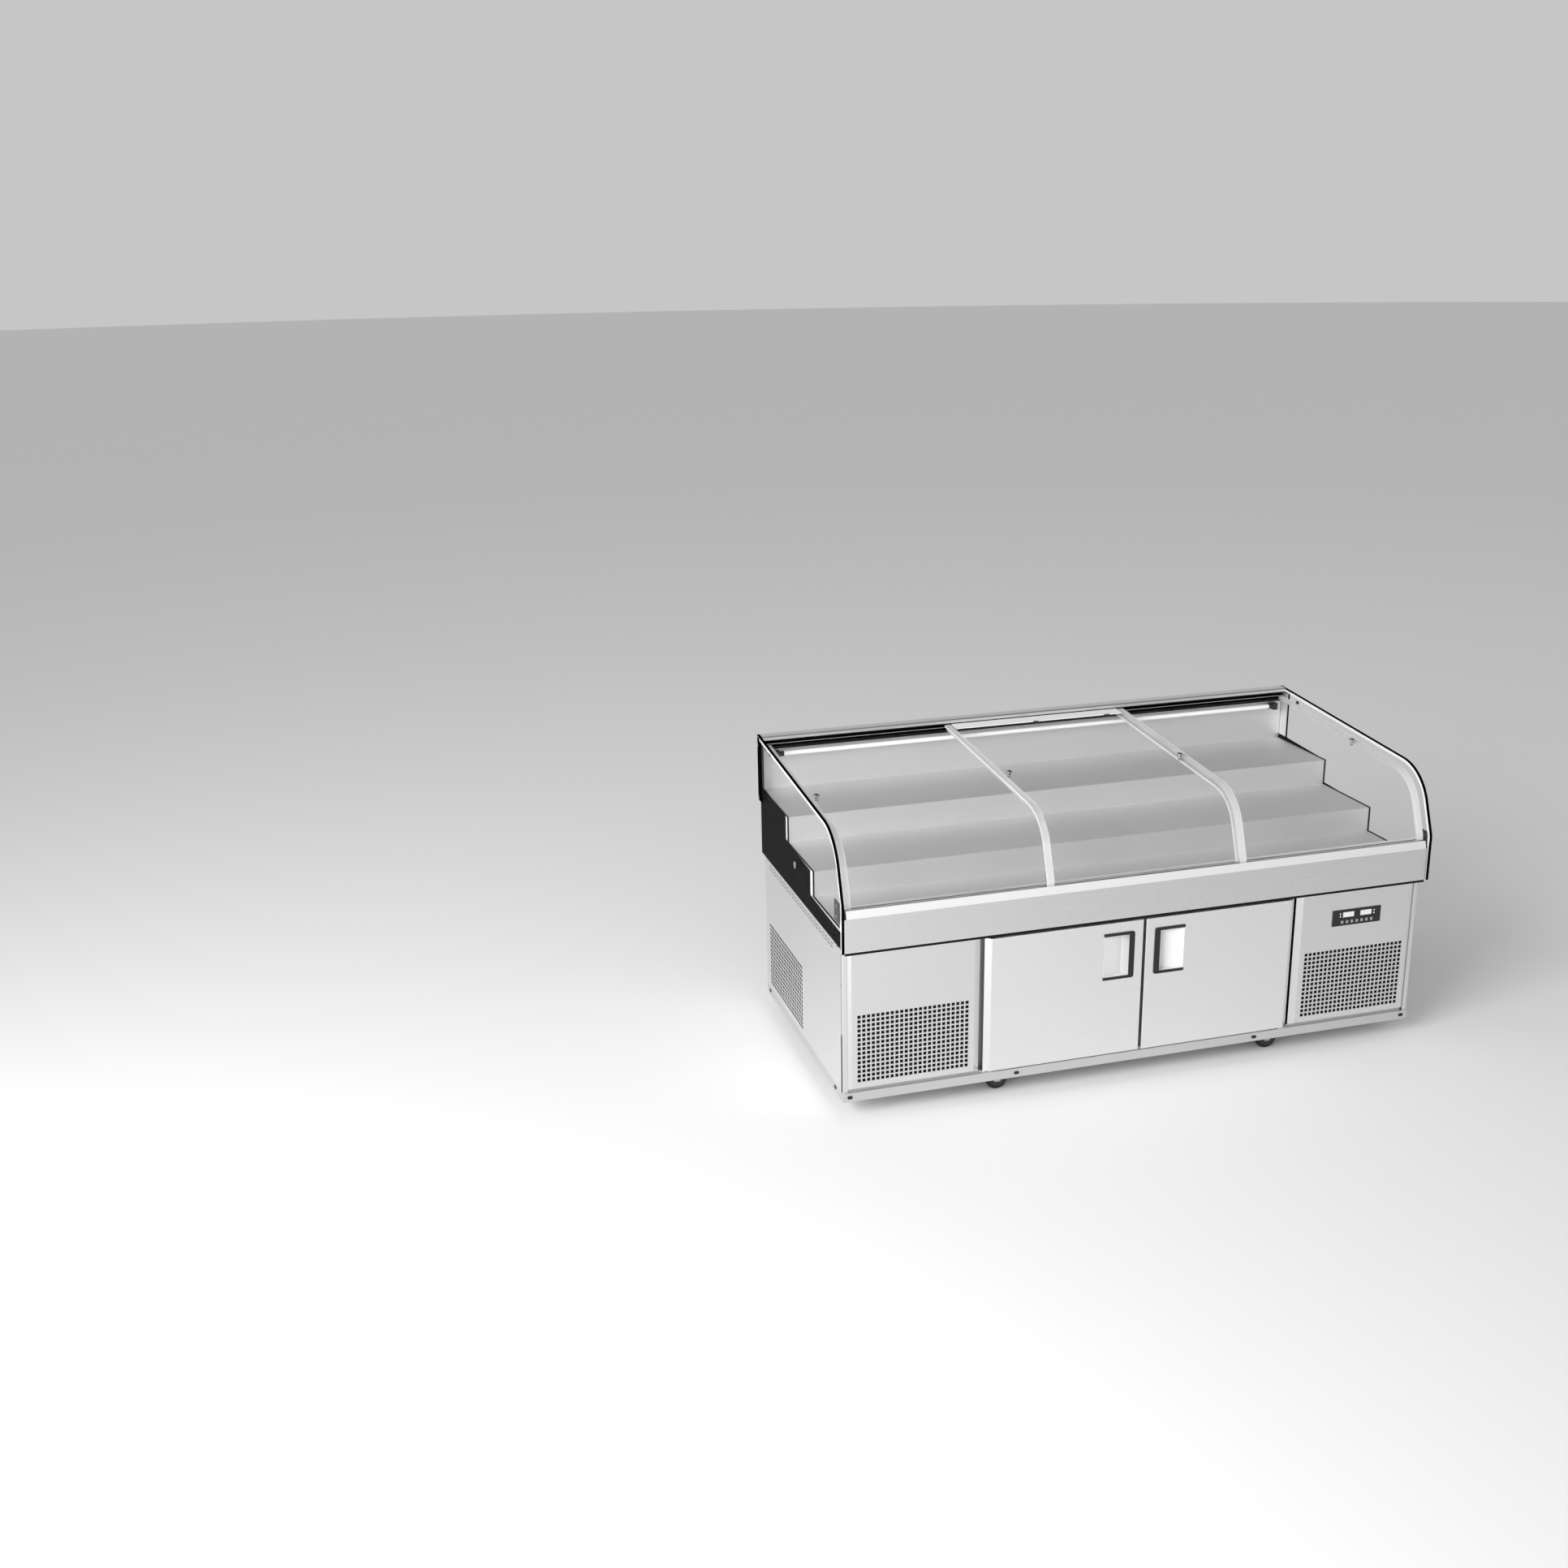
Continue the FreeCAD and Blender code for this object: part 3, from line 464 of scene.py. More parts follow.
def punched_web(columns, rows):
    """A flat sheet round the origin, facing +Z, that is all holes and no border."""
    primitive("grid", x_subdivisions=columns, y_subdivisions=rows, size=1)
    bpy.ops.object.mode_set(mode="EDIT")
    bpy.ops.mesh.select_all(action="SELECT")
    bpy.ops.transform.resize(value=(columns * HOLE_PITCH, rows * HOLE_PITCH, 1), center_override=(0, 0, 0))
    bpy.ops.mesh.inset(thickness=(HOLE_PITCH - HOLE_SIDE) / 2, use_individual=True)
    bpy.ops.mesh.delete(type="FACE")


def add_border(columns, rows, left, right_edge, foot, head):
    """Extrude the rim of the web out to a rectangle, one side after another."""
    wide = columns * HOLE_PITCH / 2
    high = rows * HOLE_PITCH / 2
    pick("edges", lambda mid, run: abs(mid.x + wide) < HAIR)
    extrude((left + wide, 0, 0))
    pick("edges", lambda mid, run: abs(mid.x - wide) < HAIR)
    extrude((right_edge - wide, 0, 0))
    pick("edges", lambda mid, run: abs(mid.y + high) < HAIR)
    extrude((0, foot + high, 0))
    pick("edges", lambda mid, run: abs(mid.y - high) < HAIR)
    extrude((0, head - high, 0))


def cut_from(piece, cutter):
    """Subtract the cutter from the piece and throw the cutter away."""
    bpy.ops.object.mode_set(mode="OBJECT")
    bpy.context.view_layer.objects.active = piece
    modify("BOOLEAN", object=cutter, operation="DIFFERENCE", solver="EXACT")
    bpy.data.objects.remove(cutter)


def stand_up(turn, place):
    """Turn the active flat sheet from facing +Z and move it to its place."""
    piece = bpy.context.object
    bpy.ops.object.mode_set(mode="OBJECT")
    piece.rotation_euler = turn
    piece.location = place
    bpy.ops.object.select_all(action="DESELECT")
    piece.select_set(True)
    bpy.ops.object.transform_apply(location=True, rotation=True, scale=True)


# %% Front machine panels
SHEET = 1.2 * MM
vent_z = 235 * MM
slope_side = 20 * MM
slope_end = 6 * MM
quarter = math.radians(90)


def machine_panel(hand):
    node = f"grille_panel_{hand}"
    low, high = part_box(node)
    columns, rows = 24, 15
    middle = (low.x + high.x) / 2
    half_wide = (high.x - low.x) / 2 - slope_side
    foot = low.z + slope_end - vent_z
    head = high.z - slope_end - vent_z
    depth = high.y - low.y
    punched_web(columns, rows)
    add_border(columns, rows, -half_wide, half_wide, foot, head)

    def on_rim(mid, run):
        return abs(abs(mid.x) - half_wide) < HAIR or abs(mid.y - foot) < HAIR or abs(mid.y - head) < HAIR

    pick("edges", on_rim)
    extrude((0, 0, -depth))
    widen = ((half_wide + slope_side) / half_wide, (head - foot + 2 * slope_end) / (head - foot), 1)
    bpy.ops.transform.resize(value=widen, center_override=(0, (foot + head) / 2, 0))
    modify("SOLIDIFY", thickness=SHEET, offset=-1)
    stand_up((quarter, 0, 0), (middle, low.y, vent_z))
    return bpy.context.object, node


for hand in SIDES:
    panel, node = machine_panel(hand)
    if hand == "right":
        case_low, case_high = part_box("controller")
        inside = Vector((4 * MM, 0, 3 * MM))
        cutter = block(case_low + inside, case_high - inside)
        cut_from(panel, cutter)
    complete(f"punched_panel_{hand}", panel_steel, "cabinet", [node])

# %% [markdown]
# ## End sheets and corner posts
#
# The ends of the machine bays are flat sheets with the same punching and, under the glass, two rows of thin
# cooling slots. The slots are few, so here a boolean is fine: one slot is modelled, an array repeats it,
# and the whole comb is cut away at once. In front of each sheet stands a folded corner post, whose rounded
# fold catches the light as one bright upright line.

# %% End sheets
SLOT_COUNT = 24
slot_pitch = 30.5 * MM
slot_long = 22 * MM
slot_high = 3 * MM
vent_y = 190 * MM
side_vent_z = 222 * MM


def end_sheet(hand):
    node = f"side_panel_{hand}"
    low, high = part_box(node)
    sign = -1 if hand == "left" else 1
    columns, rows = 26, 15
    front_reach = vent_y - (low.y + 2 * MM)
    back_reach = high.y - vent_y
    ends = (-back_reach, front_reach) if hand == "left" else (-front_reach, back_reach)
    punched_web(columns, rows)
    add_border(columns, rows, ends[0], ends[1], low.z - side_vent_z, high.z - side_vent_z)
    modify("SOLIDIFY", thickness=SHEET, offset=-1)
    outer_x = low.x if hand == "left" else high.x
    stand_up((quarter, 0, sign * quarter), (outer_x, vent_y, side_vent_z))
    sheet = bpy.context.object
    first = (outer_x, -345 * MM + slot_long / 2, 538 * MM)
    comb = primitive("cube", (8 * MM, slot_long, slot_high), size=1, location=first)
    modify("ARRAY", count=SLOT_COUNT, use_relative_offset=False, use_constant_offset=True,
           constant_offset_displace=(0, slot_pitch, 0))
    modify("ARRAY", count=2, use_relative_offset=False, use_constant_offset=True,
           constant_offset_displace=(0, 0, 11 * MM))
    cut_from(sheet, comb)
    return complete(f"end_sheet_{hand}", panel_steel, "cabinet", [node])


def corner_post(hand):
    """A folded angle: one wide flange to the front, one narrow one to the side, with a rounded fold."""
    low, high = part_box(f"side_panel_{hand}")
    sign = -1 if hand == "left" else 1
    outer_x = low.x if hand == "left" else high.x
    inner_x = outer_x - sign * 16 * MM
    x_low, x_high = sorted((outer_x, inner_x))
    block((x_low, low.y, low.z), (x_high, low.y + 14 * MM, high.z))
    pick("faces", lambda mid, normal: normal.y > 0.9 or normal.x * sign < -0.9 or abs(normal.z) > 0.9)
    bpy.ops.mesh.delete(type="FACE")
    pick("edges", lambda mid, run: abs(run.z) > 0.9 and abs(mid.x - outer_x) < HAIR and abs(mid.y - low.y) < HAIR)
    bpy.ops.mesh.bevel(offset=3 * MM, segments=5, affect="EDGES")
    modify("SOLIDIFY", thickness=SHEET, offset=-1)
    return complete(f"corner_post_{hand}", panel_steel, "cabinet", smooth=40)


for hand in SIDES:
    end_sheet(hand)
    corner_post(hand)

# %% [markdown]
# ## The bent panes
#
# All three panes follow one line: up from the front rail, a gentle bend, a leaning run, a large bend, and a
# nearly level run to the rear. The line could be drawn as a curve, but extrude and spin say what the glass
# bender does: each straight run is an extrusion and each bend is a spin about its own centre.

# %% The line of the glass
bend_line = {"front": cad_low.y, "rear": cad_high.y, "head": cad_high.z}
first_corner_z = 715 * MM
lean = math.radians(20)
rise = math.radians(4.5)
foot_radius = 60 * MM
crest_radius = 165 * MM


def meet(point, run, other, other_run):
    """Where two lines cross; points and runs are (y, z) vectors."""
    turn = run.x * other_run.y - run.y * other_run.x
    gap = other - point
    return point + run * ((gap.x * other_run.y - gap.y * other_run.x) / turn)


def glass_runs(inset, foot_z, crest_y):
    """Lengths of the three straight runs and the radius of the large bend, at a depth under the outside."""
    lean_run = Vector((math.sin(lean), math.cos(lean)))
    rise_run = Vector((math.cos(rise), math.sin(rise)))
    foot = Vector((bend_line["front"] + inset, foot_z))
    lean_at = Vector((bend_line["front"] + inset * math.cos(lean), first_corner_z - inset * math.sin(lean)))
    rise_at = Vector((bend_line["rear"] + inset * math.sin(rise), bend_line["head"] - inset * math.cos(rise)))
    low_corner = meet(foot, Vector((0, 1)), lean_at, lean_run)
    high_corner = meet(lean_at, lean_run, rise_at, rise_run)
    crest = meet(rise_at, rise_run, Vector((crest_y, 0)), Vector((0, 1)))
    radius = crest_radius - inset
    low_tangent = foot_radius * math.tan(lean / 2)
    high_tangent = radius * math.tan((quarter - rise - lean) / 2)
    runs = (
        (low_corner - foot).length - low_tangent,
        (high_corner - low_corner).length - low_tangent - high_tangent,
        (crest - high_corner).length - high_tangent,
    )
    return foot, runs, radius


def bent_sheet(x_low, x_high, inset, thick, foot_z, crest_y, steps=14):
    """A sheet that follows the glass line, its outside at the given depth."""
    foot, runs, radius = glass_runs(inset, foot_z, crest_y)
    primitive("plane", (x_high - x_low, runs[0], 1), size=1, rotation=(quarter, 0, 0),
              location=((x_low + x_high) / 2, foot.x, foot_z + runs[0] / 2))
    pick("edges", lambda mid, run: mid.z > foot_z + runs[0] - HAIR)
    at = Vector((foot.x, foot_z + runs[0]))
    heading = 0.0
    for bend, bend_radius, run, cuts in (
        (lean, foot_radius, runs[1], max(3, steps // 2)),
        (quarter - rise - lean, radius, runs[2], steps),
    ):
        inward = Vector((math.cos(heading), -math.sin(heading)))
        centre = at + inward * bend_radius
        bpy.ops.mesh.spin(steps=cuts, angle=bend, center=(0, centre.x, centre.y), axis=(1, 0, 0))
        heading += bend
        at = centre - Vector((math.cos(heading), -math.sin(heading))) * bend_radius
        extrude((0, run * math.sin(heading), run * math.cos(heading)))
        at = at + Vector((math.sin(heading), math.cos(heading))) * run
    modify("SOLIDIFY", thickness=thick, offset=-1)
    return at


# %% Panes and their edge seals
pane_thick = 5 * MM
outer_inset = 16 * MM
inner_inset = 28 * MM
pane_foot = 689.5 * MM
pane_crest = 452 * MM
panes = {"left": inner_inset, "middle": outer_inset, "right": inner_inset}
for name, inset in panes.items():
    low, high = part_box(f"sliding_glass_{name}")
    end = bent_sheet(low.x, high.x, inset, pane_thick, pane_foot, pane_crest)
    print("pane ends at height", round(end.y, 4), "CAD top", round(high.z, 4))
    complete(f"pane_{name}", pane_glass, f"pane_{name}", [f"sliding_glass_{name}"], smooth=30)


# %% [markdown]
# ## Clear profiles on the panes' edges
#
# Sliding panes wear a clear plastic channel on each upright edge, which keeps two panes from chipping each
# other where they overlap. It is a narrow U round the glass: an outer leaf, an inner leaf and a web. Each is
# the same bent sheet as the pane itself, only narrower and thinner, and the three are joined into one piece.
# From the front a milky strip shows, with a brighter line where the web stands on edge.


# %% Edge profiles
LEAF = 1.5 * MM


def edge_profile(name, body, edge_x, inward, wide, inset):
    """A clear U round one upright edge of a pane; inward is the way from the edge into the glass."""
    leaves = []
    web_low, web_high = sorted((edge_x, edge_x - inward * LEAF))
    x_low, x_high = sorted((edge_x - inward * LEAF, edge_x + inward * wide))
    for low, high, depth, thick in (
        (x_low, x_high, inset - LEAF, LEAF),
        (x_low, x_high, inset + pane_thick, LEAF),
        (web_low, web_high, inset, pane_thick),
    ):
        bent_sheet(low, high, depth, thick, pane_foot + 8 * MM, pane_crest - 22 * MM)
        leaves.append(bpy.context.object)
    bpy.ops.object.mode_set(mode="OBJECT")
    for leaf in leaves:
        leaf.select_set(True)
    bpy.ops.object.join()
    return complete(name, seal_plastic, body, smooth=30)


for hand, inset in panes.items():
    low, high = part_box(f"sliding_glass_{hand}")
    edge_profile(f"profile_{hand}_a", f"pane_{hand}", low.x, 1, 20 * MM, inset)
    edge_profile(f"profile_{hand}_b", f"pane_{hand}", high.x, -1, 20 * MM, inset)

# %% [markdown]
# ## White head strip of the middle pane
#
# The middle pane runs in the upper channel, and a white acetal strip along its head hides the black track
# behind it. The strip is a flat bar on top of the glass, tipped to the slope of the glass, with its corners
# rounded by a small bevel.


# %% Head strip
def on_crest(y, inset):
    """Height of the nearly level run at a place y, at a depth under the outside."""
    return bend_line["head"] - (bend_line["rear"] - y) * math.tan(rise) - inset / math.cos(rise)


def soften(width, segments=2, angle=40):
    """Round the sharp edges of the active piece by a bevel."""
    modify("BEVEL", width=width, segments=segments, limit_method="ANGLE", angle_limit=math.radians(angle))


def tipped_bar(x_low, x_high, y_low, y_high, inset, thick):
    """A bar that lies on the nearly level run."""
    block((x_low, -(y_high - y_low) / 2, 0), (x_high, (y_high - y_low) / 2, thick))
    y = (y_low + y_high) / 2
    bar = bpy.context.object
    bar.rotation_euler = (rise, 0, 0)
    bar.location = (0, y, on_crest(y, inset))
    bpy.ops.object.transform_apply(location=True, rotation=True, scale=True)


low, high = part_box("sliding_glass_middle")
tipped_bar(low.x + 24 * MM, high.x - 24 * MM, 384 * MM, 432 * MM, outer_inset, 3 * MM)
soften(0.8 * MM)
complete("pane_head_strip", slider_plastic, "pane_middle")
for number, x in enumerate((-20 * MM, 250 * MM)):
    tipped_bar(x - 9 * MM, x + 9 * MM, 362 * MM, 380 * MM, outer_inset, 6 * MM)
    soften(1.5 * MM)
    complete(f"pane_clip_{number}", black_nylon, "pane_middle")

# %% [markdown]
# ## Track lips and tube ends
#
# Two pale aluminium lips run along the black upper channel, one between its two slots and one along its
# foot. The lamp tube ends in dark sockets.

# %% Track lips
low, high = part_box("upper_track")
for number, (z, tall) in enumerate(((high.z - 14 * MM, 1.2 * MM), (low.z + 1 * MM, 1.6 * MM))):
    block((low.x, low.y - 0.8 * MM, z), (high.x, low.y - 0.05 * MM, z + tall))
    soften(0.3 * MM)
    complete(f"track_lip_{number}", rail_steel_painted_light, "cabinet")
low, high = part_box("lamp_tube")
middle_y, middle_z = (low.y + high.y) / 2, (low.z + high.z) / 2
for hand, x in (("left", low.x), ("right", high.x)):
    inward = 1 if hand == "left" else -1
    primitive("cylinder", vertices=24, radius=9 * MM, depth=16 * MM, rotation=(0, quarter, 0),
              location=(x + inward * 10 * MM, middle_y, middle_z))
    pick("faces", lambda mid, normal: abs(normal.x) > 0.9)
    bpy.ops.mesh.inset(thickness=1.6 * MM)
    bpy.ops.mesh.delete(type="FACE")
    modify("SOLIDIFY", thickness=1.2 * MM, offset=-1)
    complete(f"tube_socket_{hand}", black_nylon, "cabinet", smooth=40)

# %% [markdown]
# ## Pale edge strips on the end glasses
#
# Beside the black edge band the lit edge of each end glass shows as a pale line. A milky strip paints this
# highlight: the same bent sheet once more, only 0.3 mm thick, laid on both faces of each glass.

# %% Painted edge highlights
band = 3 * MM
margin = 9 * MM
for hand, sign in (("left", -1), ("right", 1)):
    low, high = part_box(f"side_glass_{hand}")
    for face, x, way in (("outer", sign * 1.0, sign), ("inner", sign * 0.992, -sign)):
        x_low, x_high = sorted((x + way * 0.05 * MM, x + way * 0.35 * MM))
        bent_sheet(x_low, x_high, band, margin, low.z + 1 * MM, cad_high.y - 30 * MM)
        complete(f"ground_{face}_{hand}", edge_highlight_sheet, "cabinet", smooth=30)

# %% [markdown]
# ## Print along the rear edges
#
# A black ceramic print, about 56 mm wide, runs up the rear edge of each end glass and hides the ends of the
# rear wall and of the track. It is a skin 0.15 mm thick on the outside: a flat box whose top front edge is
# moved until it follows the crest of the glass. Seen from inside, a narrow steel return of the rear wall
# covers it, so the bed stays bright up to its corners.

# %% Rear print
print_wide = 56 * MM
for hand, sign in (("left", -1), ("right", 1)):
    x_low, x_high = sorted((sign * 1.0, sign * 1.00015))
    front_y, rear_y = cad_high.y - print_wide, cad_high.y - 1.5 * MM
    top_z = on_crest(rear_y, 0) - 5 * MM
    block((x_low, front_y, 0.76), (x_high, rear_y, top_z))
    pick("edges", lambda mid, run: abs(run.x) > 0.9 and mid.z > top_z - HAIR and mid.y < front_y + HAIR)
    bpy.ops.transform.translate(value=(0, 0, on_crest(front_y, 0) - 5 * MM - top_z))
    skin = complete(f"rear_print_{hand}", black_print, "cabinet")
    x_low, x_high = sorted((sign * 0.9918, sign * 0.991))
    block((x_low, front_y - 2 * MM, 0.7985), (x_high, cad_high.y - 14.5 * MM, top_z - 14 * MM))
    complete(f"wall_return_{hand}", liner_steel, "cabinet")
print("rear print reaches", round(max(corner[2] for corner in skin.bound_box), 4))

# %% [markdown]
# ## Rubber beads along the treads
#
# A black rubber bead closes the joint between the steel steps and the end glass. It climbs the steps, so it
# is drawn as they are: one flat strip whose rear edge is extruded up each riser and back along each tread.

# %% Step beads
tread_heights = (627 * MM, 710 * MM, 797.5 * MM)
riser_places = (-141 * MM, 143 * MM)
bead_front, bead_rear = -418 * MM, 455 * MM
for hand, sign in (("left", -1), ("right", 1)):
    x_low, x_high = sorted((sign * 990.7 * MM, sign * 985.7 * MM))
    primitive("plane", (x_high - x_low, 1 * MM, 1), size=1,
              location=((x_low + x_high) / 2, bead_front + 0.5 * MM, tread_heights[0]))
    path = [(bead_front + 1 * MM, tread_heights[0])]
    for place, height in zip(riser_places, tread_heights[1:]):
        path += [(place, path[-1][1]), (place, height)]
    path.append((bead_rear, path[-1][1]))
    pick("edges", lambda mid, run: mid.y > bead_front + 0.99 * MM)
    for (y0, z0), (y1, z1) in zip(path, path[1:]):
        extrude((0, y1 - y0, z1 - z0))
    modify("SOLIDIFY", thickness=2.5 * MM, offset=1)
    bead = complete(f"step_bead_{hand}", seal_rubber, "cabinet")
    print("bead top", round(max(corner[2] for corner in bead.bound_box), 4))

# %% [markdown]
# ## Clamps, bolts and screws on the end glasses
#
# A dark moulded clamp grips each end glass beside the front rail, with two screws through it. Below it sit
# one screw and one round plug, and a dark bolt holds the track's end near the top. All are turned or boxed
# shapes with softened edges. Each is modelled once for the left side and copied to the right side with a
# mesh of its own, by mirroring.


# %% Clamps and screws
def disc(place, radius, tall, axis, vertices=20):
    """A flat round head standing on a face; axis is the way it faces."""
    turn = Vector((0, 0, 1)).rotation_difference(Vector(axis)).to_euler()
    primitive("cylinder", vertices=vertices, radius=radius, depth=tall, rotation=turn,
              location=Vector(place) + Vector(axis) * tall / 2)
    soften(tall * 0.3, 2, 60)


def mirror_copy(piece, name, body):
    """The same piece on the other side, with a mesh of its own."""
    twin = piece.copy()
    twin.data = piece.data.copy()
    bpy.context.scene.collection.objects.link(twin)
    bpy.ops.object.select_all(action="DESELECT")
    twin.select_set(True)
    bpy.context.view_layer.objects.active = twin
    twin.scale = (-1, 1, 1)
    bpy.ops.object.transform_apply(location=True, rotation=True, scale=True)
    bpy.ops.object.mode_set(mode="EDIT")
    bpy.ops.mesh.select_all(action="SELECT")
    bpy.ops.mesh.normals_make_consistent(inside=False)
    bpy.ops.object.mode_set(mode="OBJECT")
    twin.name = twin.data.name = name
    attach(twin, body)
    return twin


outer_face = -1000 * MM
block((outer_face - 3 * MM, -452 * MM, 656 * MM), (outer_face - 0.05 * MM, -404 * MM, 722 * MM))
soften(1.2 * MM, 3)
clamp = complete("end_clamp_left", clamp_nylon, "cabinet")
mirror_copy(clamp, "end_clamp_right", "cabinet")
fixings = {
    "clamp_screw_top": ((outer_face - 3.05 * MM, -428 * MM, 706 * MM), 5 * MM, 0.9 * MM, chrome),
    "clamp_screw_foot": ((outer_face - 3.05 * MM, -428 * MM, 673 * MM), 5 * MM, 0.9 * MM, chrome),
    "foot_screw": ((outer_face, -398 * MM, 578 * MM), 5 * MM, 2 * MM, chrome),
    "foot_plug": ((outer_face, -425 * MM, 578 * MM), 4 * MM, 1.5 * MM, plug_rubber),
}
for name, (place, radius, tall, material) in fixings.items():
    disc(place, radius, tall, (-1, 0, 0))
    piece = complete(f"{name}_left", material, "cabinet", smooth=30)
    mirror_copy(piece, f"{name}_right", "cabinet")
disc((-991.9 * MM, 346 * MM, 955 * MM), 7 * MM, 6 * MM, (1, 0, 0))
piece = complete("track_bolt_left", black_nylon, "cabinet", smooth=30)
mirror_copy(piece, "track_bolt_right", "cabinet")

# %% [markdown]
# ## Knob centres
#
# Each turned knob has a dark screw cap in its middle. It rides with its pane.

# %% Knob caps
for body, names in {"pane_left": ["knob_left"], "pane_right": ["knob_right"], "pane_middle": ["knobs_middle"]}.items():
    for name in names:
        low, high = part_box(name)
        radius = 9.5 * MM
        places = [low.x + radius, high.x - radius] if name == "knobs_middle" else [(low.x + high.x) / 2]
        for number, x in enumerate(places):
            up_way = Vector((0, -math.sin(rise), math.cos(rise)))
            inset = panes[body.split("_")[1]]
            foot = Vector((x, -60 * MM, on_crest(-60 * MM, inset)))
            disc(foot + up_way * 14 * MM, 5.5 * MM, 0.8 * MM, up_way)
            complete(f"{name}_cap_{number}", black_nylon, body, smooth=30)

# %% [markdown]
# ## Dark mats behind the punched sheets
#
# Behind every punched sheet and every row of slots hangs a mat of black open-cell foam. It is painted shade: it
# stands for the shade inside the machine bays, so that the holes read as black. Each mat is a plain sheet a little
# larger than the field of holes.

# %% Dark mats, painted shade
reach_x, reach_z = 190 * MM, 120 * MM
for hand, sign in (("left", -1), ("right", 1)):
    low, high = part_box(f"grille_panel_{hand}")
    mid_x = (low.x + high.x) / 2
    block((mid_x - reach_x, high.y - 6 * MM, vent_z - reach_z), (mid_x + reach_x, high.y - 1 * MM, vent_z + reach_z))
    soften(1 * MM)
    complete(f"shade_mat_{hand}", dark_shade_foam, "cabinet")
    x_low, x_high = sorted((sign * 987.5 * MM, sign * 983 * MM))
    block((x_low, vent_y - 205 * MM, side_vent_z - reach_z), (x_high, vent_y + 205 * MM, side_vent_z + reach_z))
    soften(1 * MM)
    complete(f"side_shade_mat_{hand}", dark_shade_foam, "cabinet")
    block((x_low, -350 * MM, 531 * MM), (x_high, 400 * MM, 558 * MM))
    soften(1 * MM)
    complete(f"slot_shade_mat_{hand}", dark_shade_foam, "cabinet")

# %% [markdown]
# ## The controller's face
#
# The controller shows two pale display windows and a row of seven grey keys in a dark frame. The model's
# node holds windows and keys together, so they are made again here one by one: each window is a plate with
# its rim inset and pressed back, each key is a small plate with softened corners, and a lit mark stands
# beside each window.

# %% Displays and keys
low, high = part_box("controller")
face_y = low.y
mid_x = (low.x + high.x) / 2
for number, x in enumerate((mid_x - 32 * MM, mid_x + 32 * MM)):
    block((x - 20 * MM, face_y - 0.4 * MM, 459.5 * MM), (x + 20 * MM, face_y + 1.2 * MM, 476.5 * MM))
    pick("faces", lambda mid, normal: normal.y < -0.9)
    bpy.ops.mesh.inset(thickness=1.2 * MM)
    extrude((0, 0.5 * MM, 0))
    complete(f"display_{number}", display_film, "cabinet")
for number in range(7):
    x = mid_x - 54 * MM + number * 18 * MM
    block((x - 4.4 * MM, face_y - 0.8 * MM, 438 * MM), (x + 4.4 * MM, face_y - 0.02 * MM, 448 * MM))
    soften(0.5 * MM, 2)
    complete(f"key_{number}", key_print, "cabinet")
for number, x in enumerate((mid_x - 62 * MM, mid_x + 62 * MM)):
    for row, z in enumerate((463 * MM, 472 * MM)):
        disc((x, face_y - 0.02 * MM, z), 2.6 * MM, 0.4 * MM, (0, -1, 0), 12)
        complete(f"mark_{number}_{row}", display_film, "cabinet", smooth=30)
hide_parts("controller_keys")

# %% [markdown]
# ## Floor and light
#
# The counter stands in a pale studio: a sweep of floor, a wide soft light in front, a dimmer wall behind, and
# one large soft box. Satin metal shows mostly what it faces. The doors and risers face the floor and the
# bright front, while level sheets mirror the dimmer back, so that every step of the bed reads as a step.


# %% Floor
def studio_floor(name, near, far):
    """A pale matte floor, painted brighter round the counter and darker outwards as a painted pool of light, so that
    it meets the sky without a line.
    """
    material, tree, output = new_material(name)
    place = add(tree, "TexCoord").outputs["Object"]
    away = add(tree, "VectorMath", {0: place}, operation="LENGTH").outputs["Value"]
    drift = add(tree, "MapRange", {"Value": away, "From Min": 3.0, "From Max": 14.0}).outputs[0]
    paper = add(tree, "BsdfPrincipled", {"Base Color": shades(tree, drift, near, far), "Roughness": 0.9})
    tree.links.new(paper.outputs[0], output.inputs["Surface"])
    return material


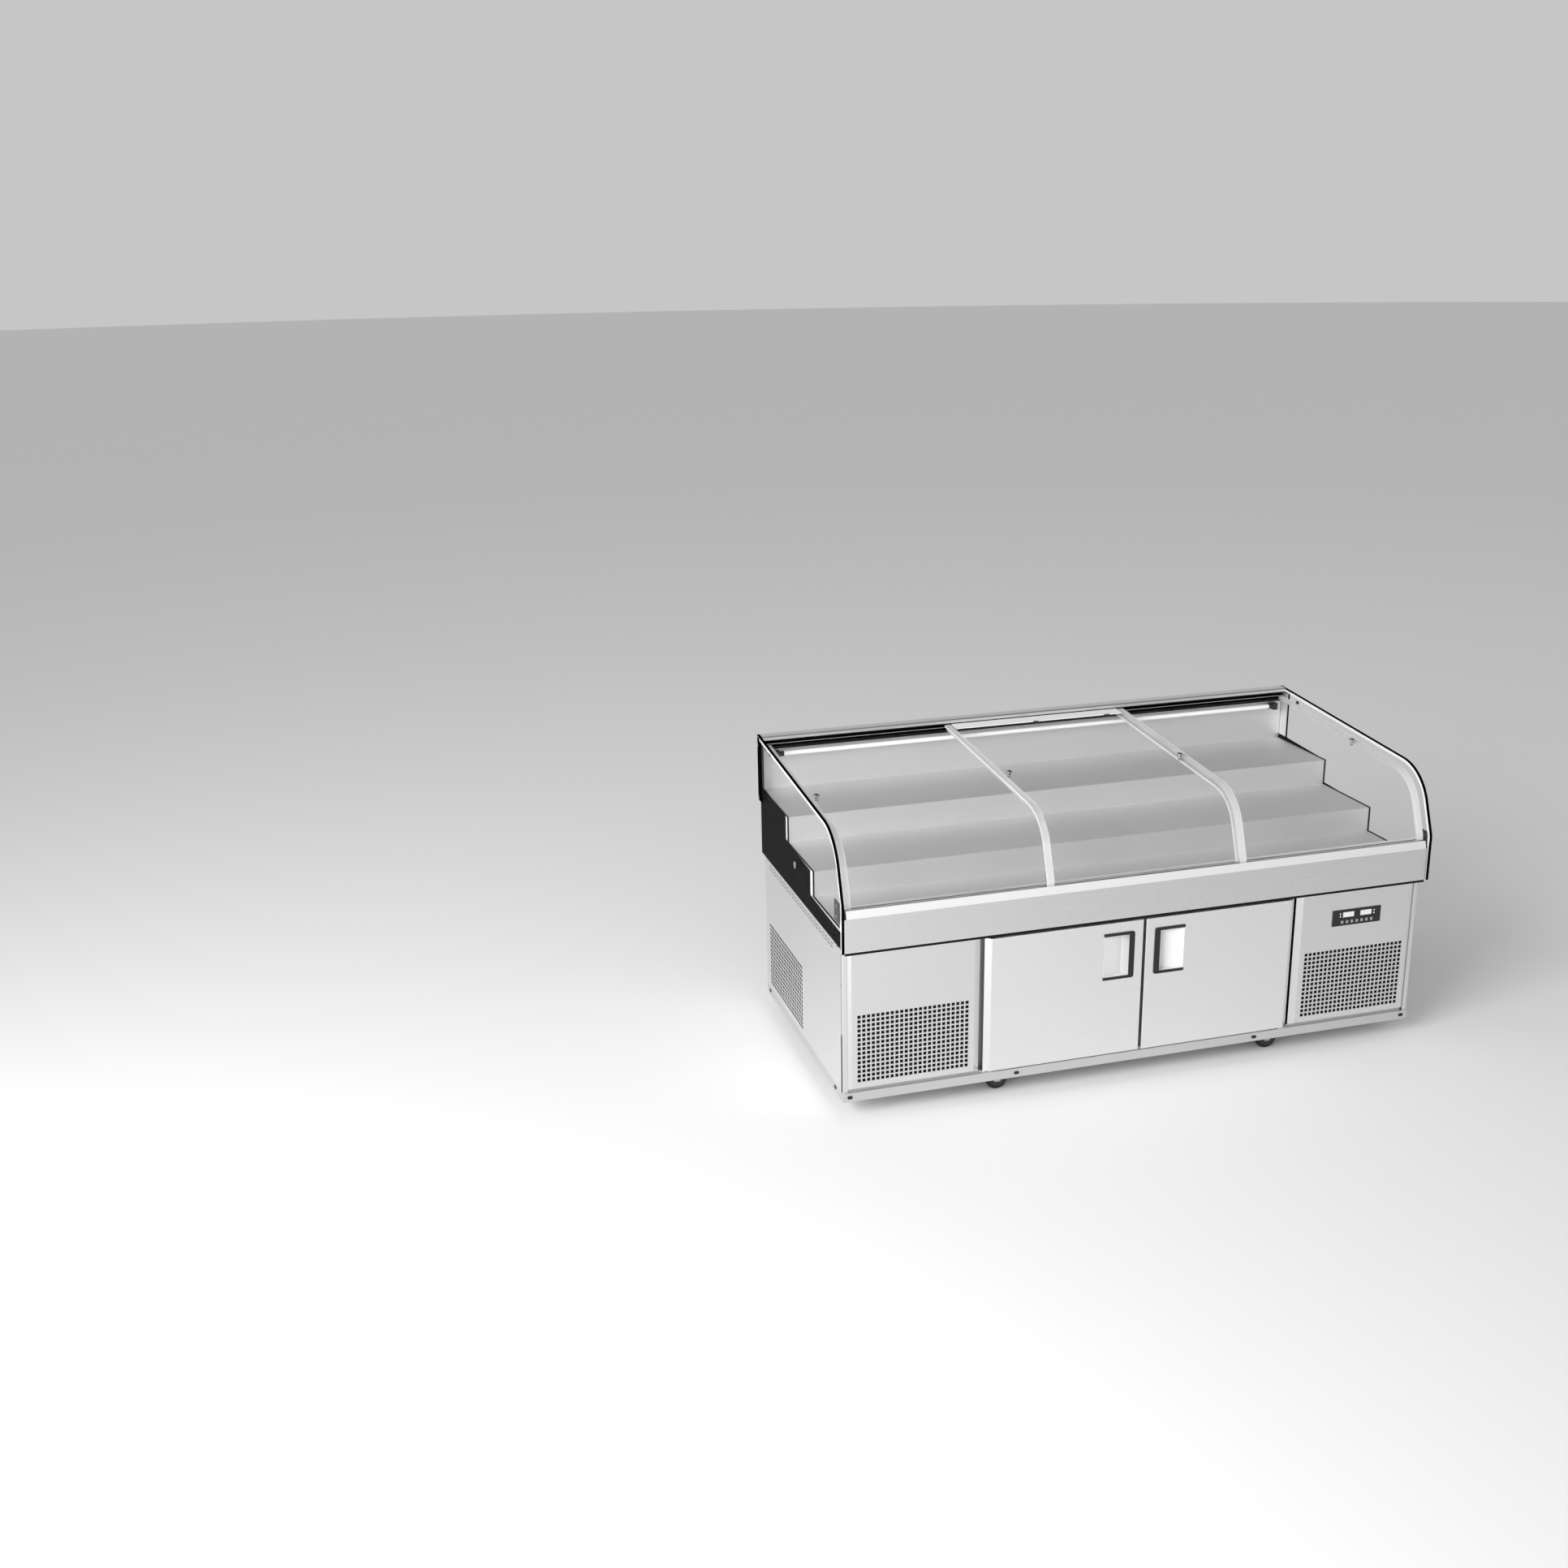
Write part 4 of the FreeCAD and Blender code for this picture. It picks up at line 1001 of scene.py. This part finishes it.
bpy.ops.mesh.primitive_circle_add(vertices=96, radius=60.0, fill_type="NGON", location=(0, 0, 0))
floor = bpy.context.object
floor.name = "studio_floor"
dress(floor, studio_floor("seamless_paper", "#F4F4F4", "#ECECEC"))

# %% Sky and soft box
front_level, back_level, top_share = 1.35, 0.55, 0.38
world = bpy.data.worlds.new("studio_sky")
bpy.context.scene.world = world
world.use_nodes = True
sky_tree = world.node_tree
sky_tree.nodes.clear()
toward = add(sky_tree, "TexCoord").outputs["Generated"]
leftness = add(sky_tree, "VectorMath", {0: toward, 1: (-0.75, -0.66, 0.0)}, operation="DOT_PRODUCT").outputs["Value"]
height = add(sky_tree, "SeparateXYZ", {0: toward}).outputs["Z"]
from_front = add(sky_tree, "MapRange", {
    "Value": leftness, "From Min": -0.2, "From Max": 0.85, "To Min": back_level, "To Max": front_level,
}, interpolation_type="SMOOTHSTEP").outputs[0]
from_above = add(sky_tree, "MapRange", {
    "Value": height, "From Min": 0.4, "From Max": 0.9, "To Min": 1.0, "To Max": top_share,
}, interpolation_type="SMOOTHSTEP").outputs[0]
level_of_light = add(sky_tree, "Math", {0: from_front, 1: from_above}, operation="MULTIPLY").outputs[0]
sky = add(sky_tree, "Background", {"Color": linear("#FFFFFF"), "Strength": level_of_light})
seen = add(sky_tree, "Background", {"Color": linear("#C6C6C6"), "Strength": 1.0})
is_camera = add(sky_tree, "LightPath").outputs["Is Camera Ray"]
either = add(sky_tree, "MixShader", {"Fac": is_camera, 1: sky.outputs[0], 2: seen.outputs[0]})
sky_tree.links.new(either.outputs[0], add(sky_tree, "OutputWorld").inputs["Surface"])


def soft_box(name, place, target, size, watts):
    lamp = bpy.data.lights.new(name, "AREA")
    lamp.shape = "RECTANGLE"
    lamp.size, lamp.size_y = size
    lamp.energy = watts
    holder = bpy.data.objects.new(name, lamp)
    bpy.context.scene.collection.objects.link(holder)
    holder.location = place
    holder.rotation_euler = (Vector(target) - Vector(place)).to_track_quat("-Z", "Y").to_euler()


soft_box("soft_box_left", (-5.2, -3.4, 3.2), (0, -1.6, 0), (3.5, 3.0), 360)
bpy.context.scene.view_settings.view_transform = "Standard"
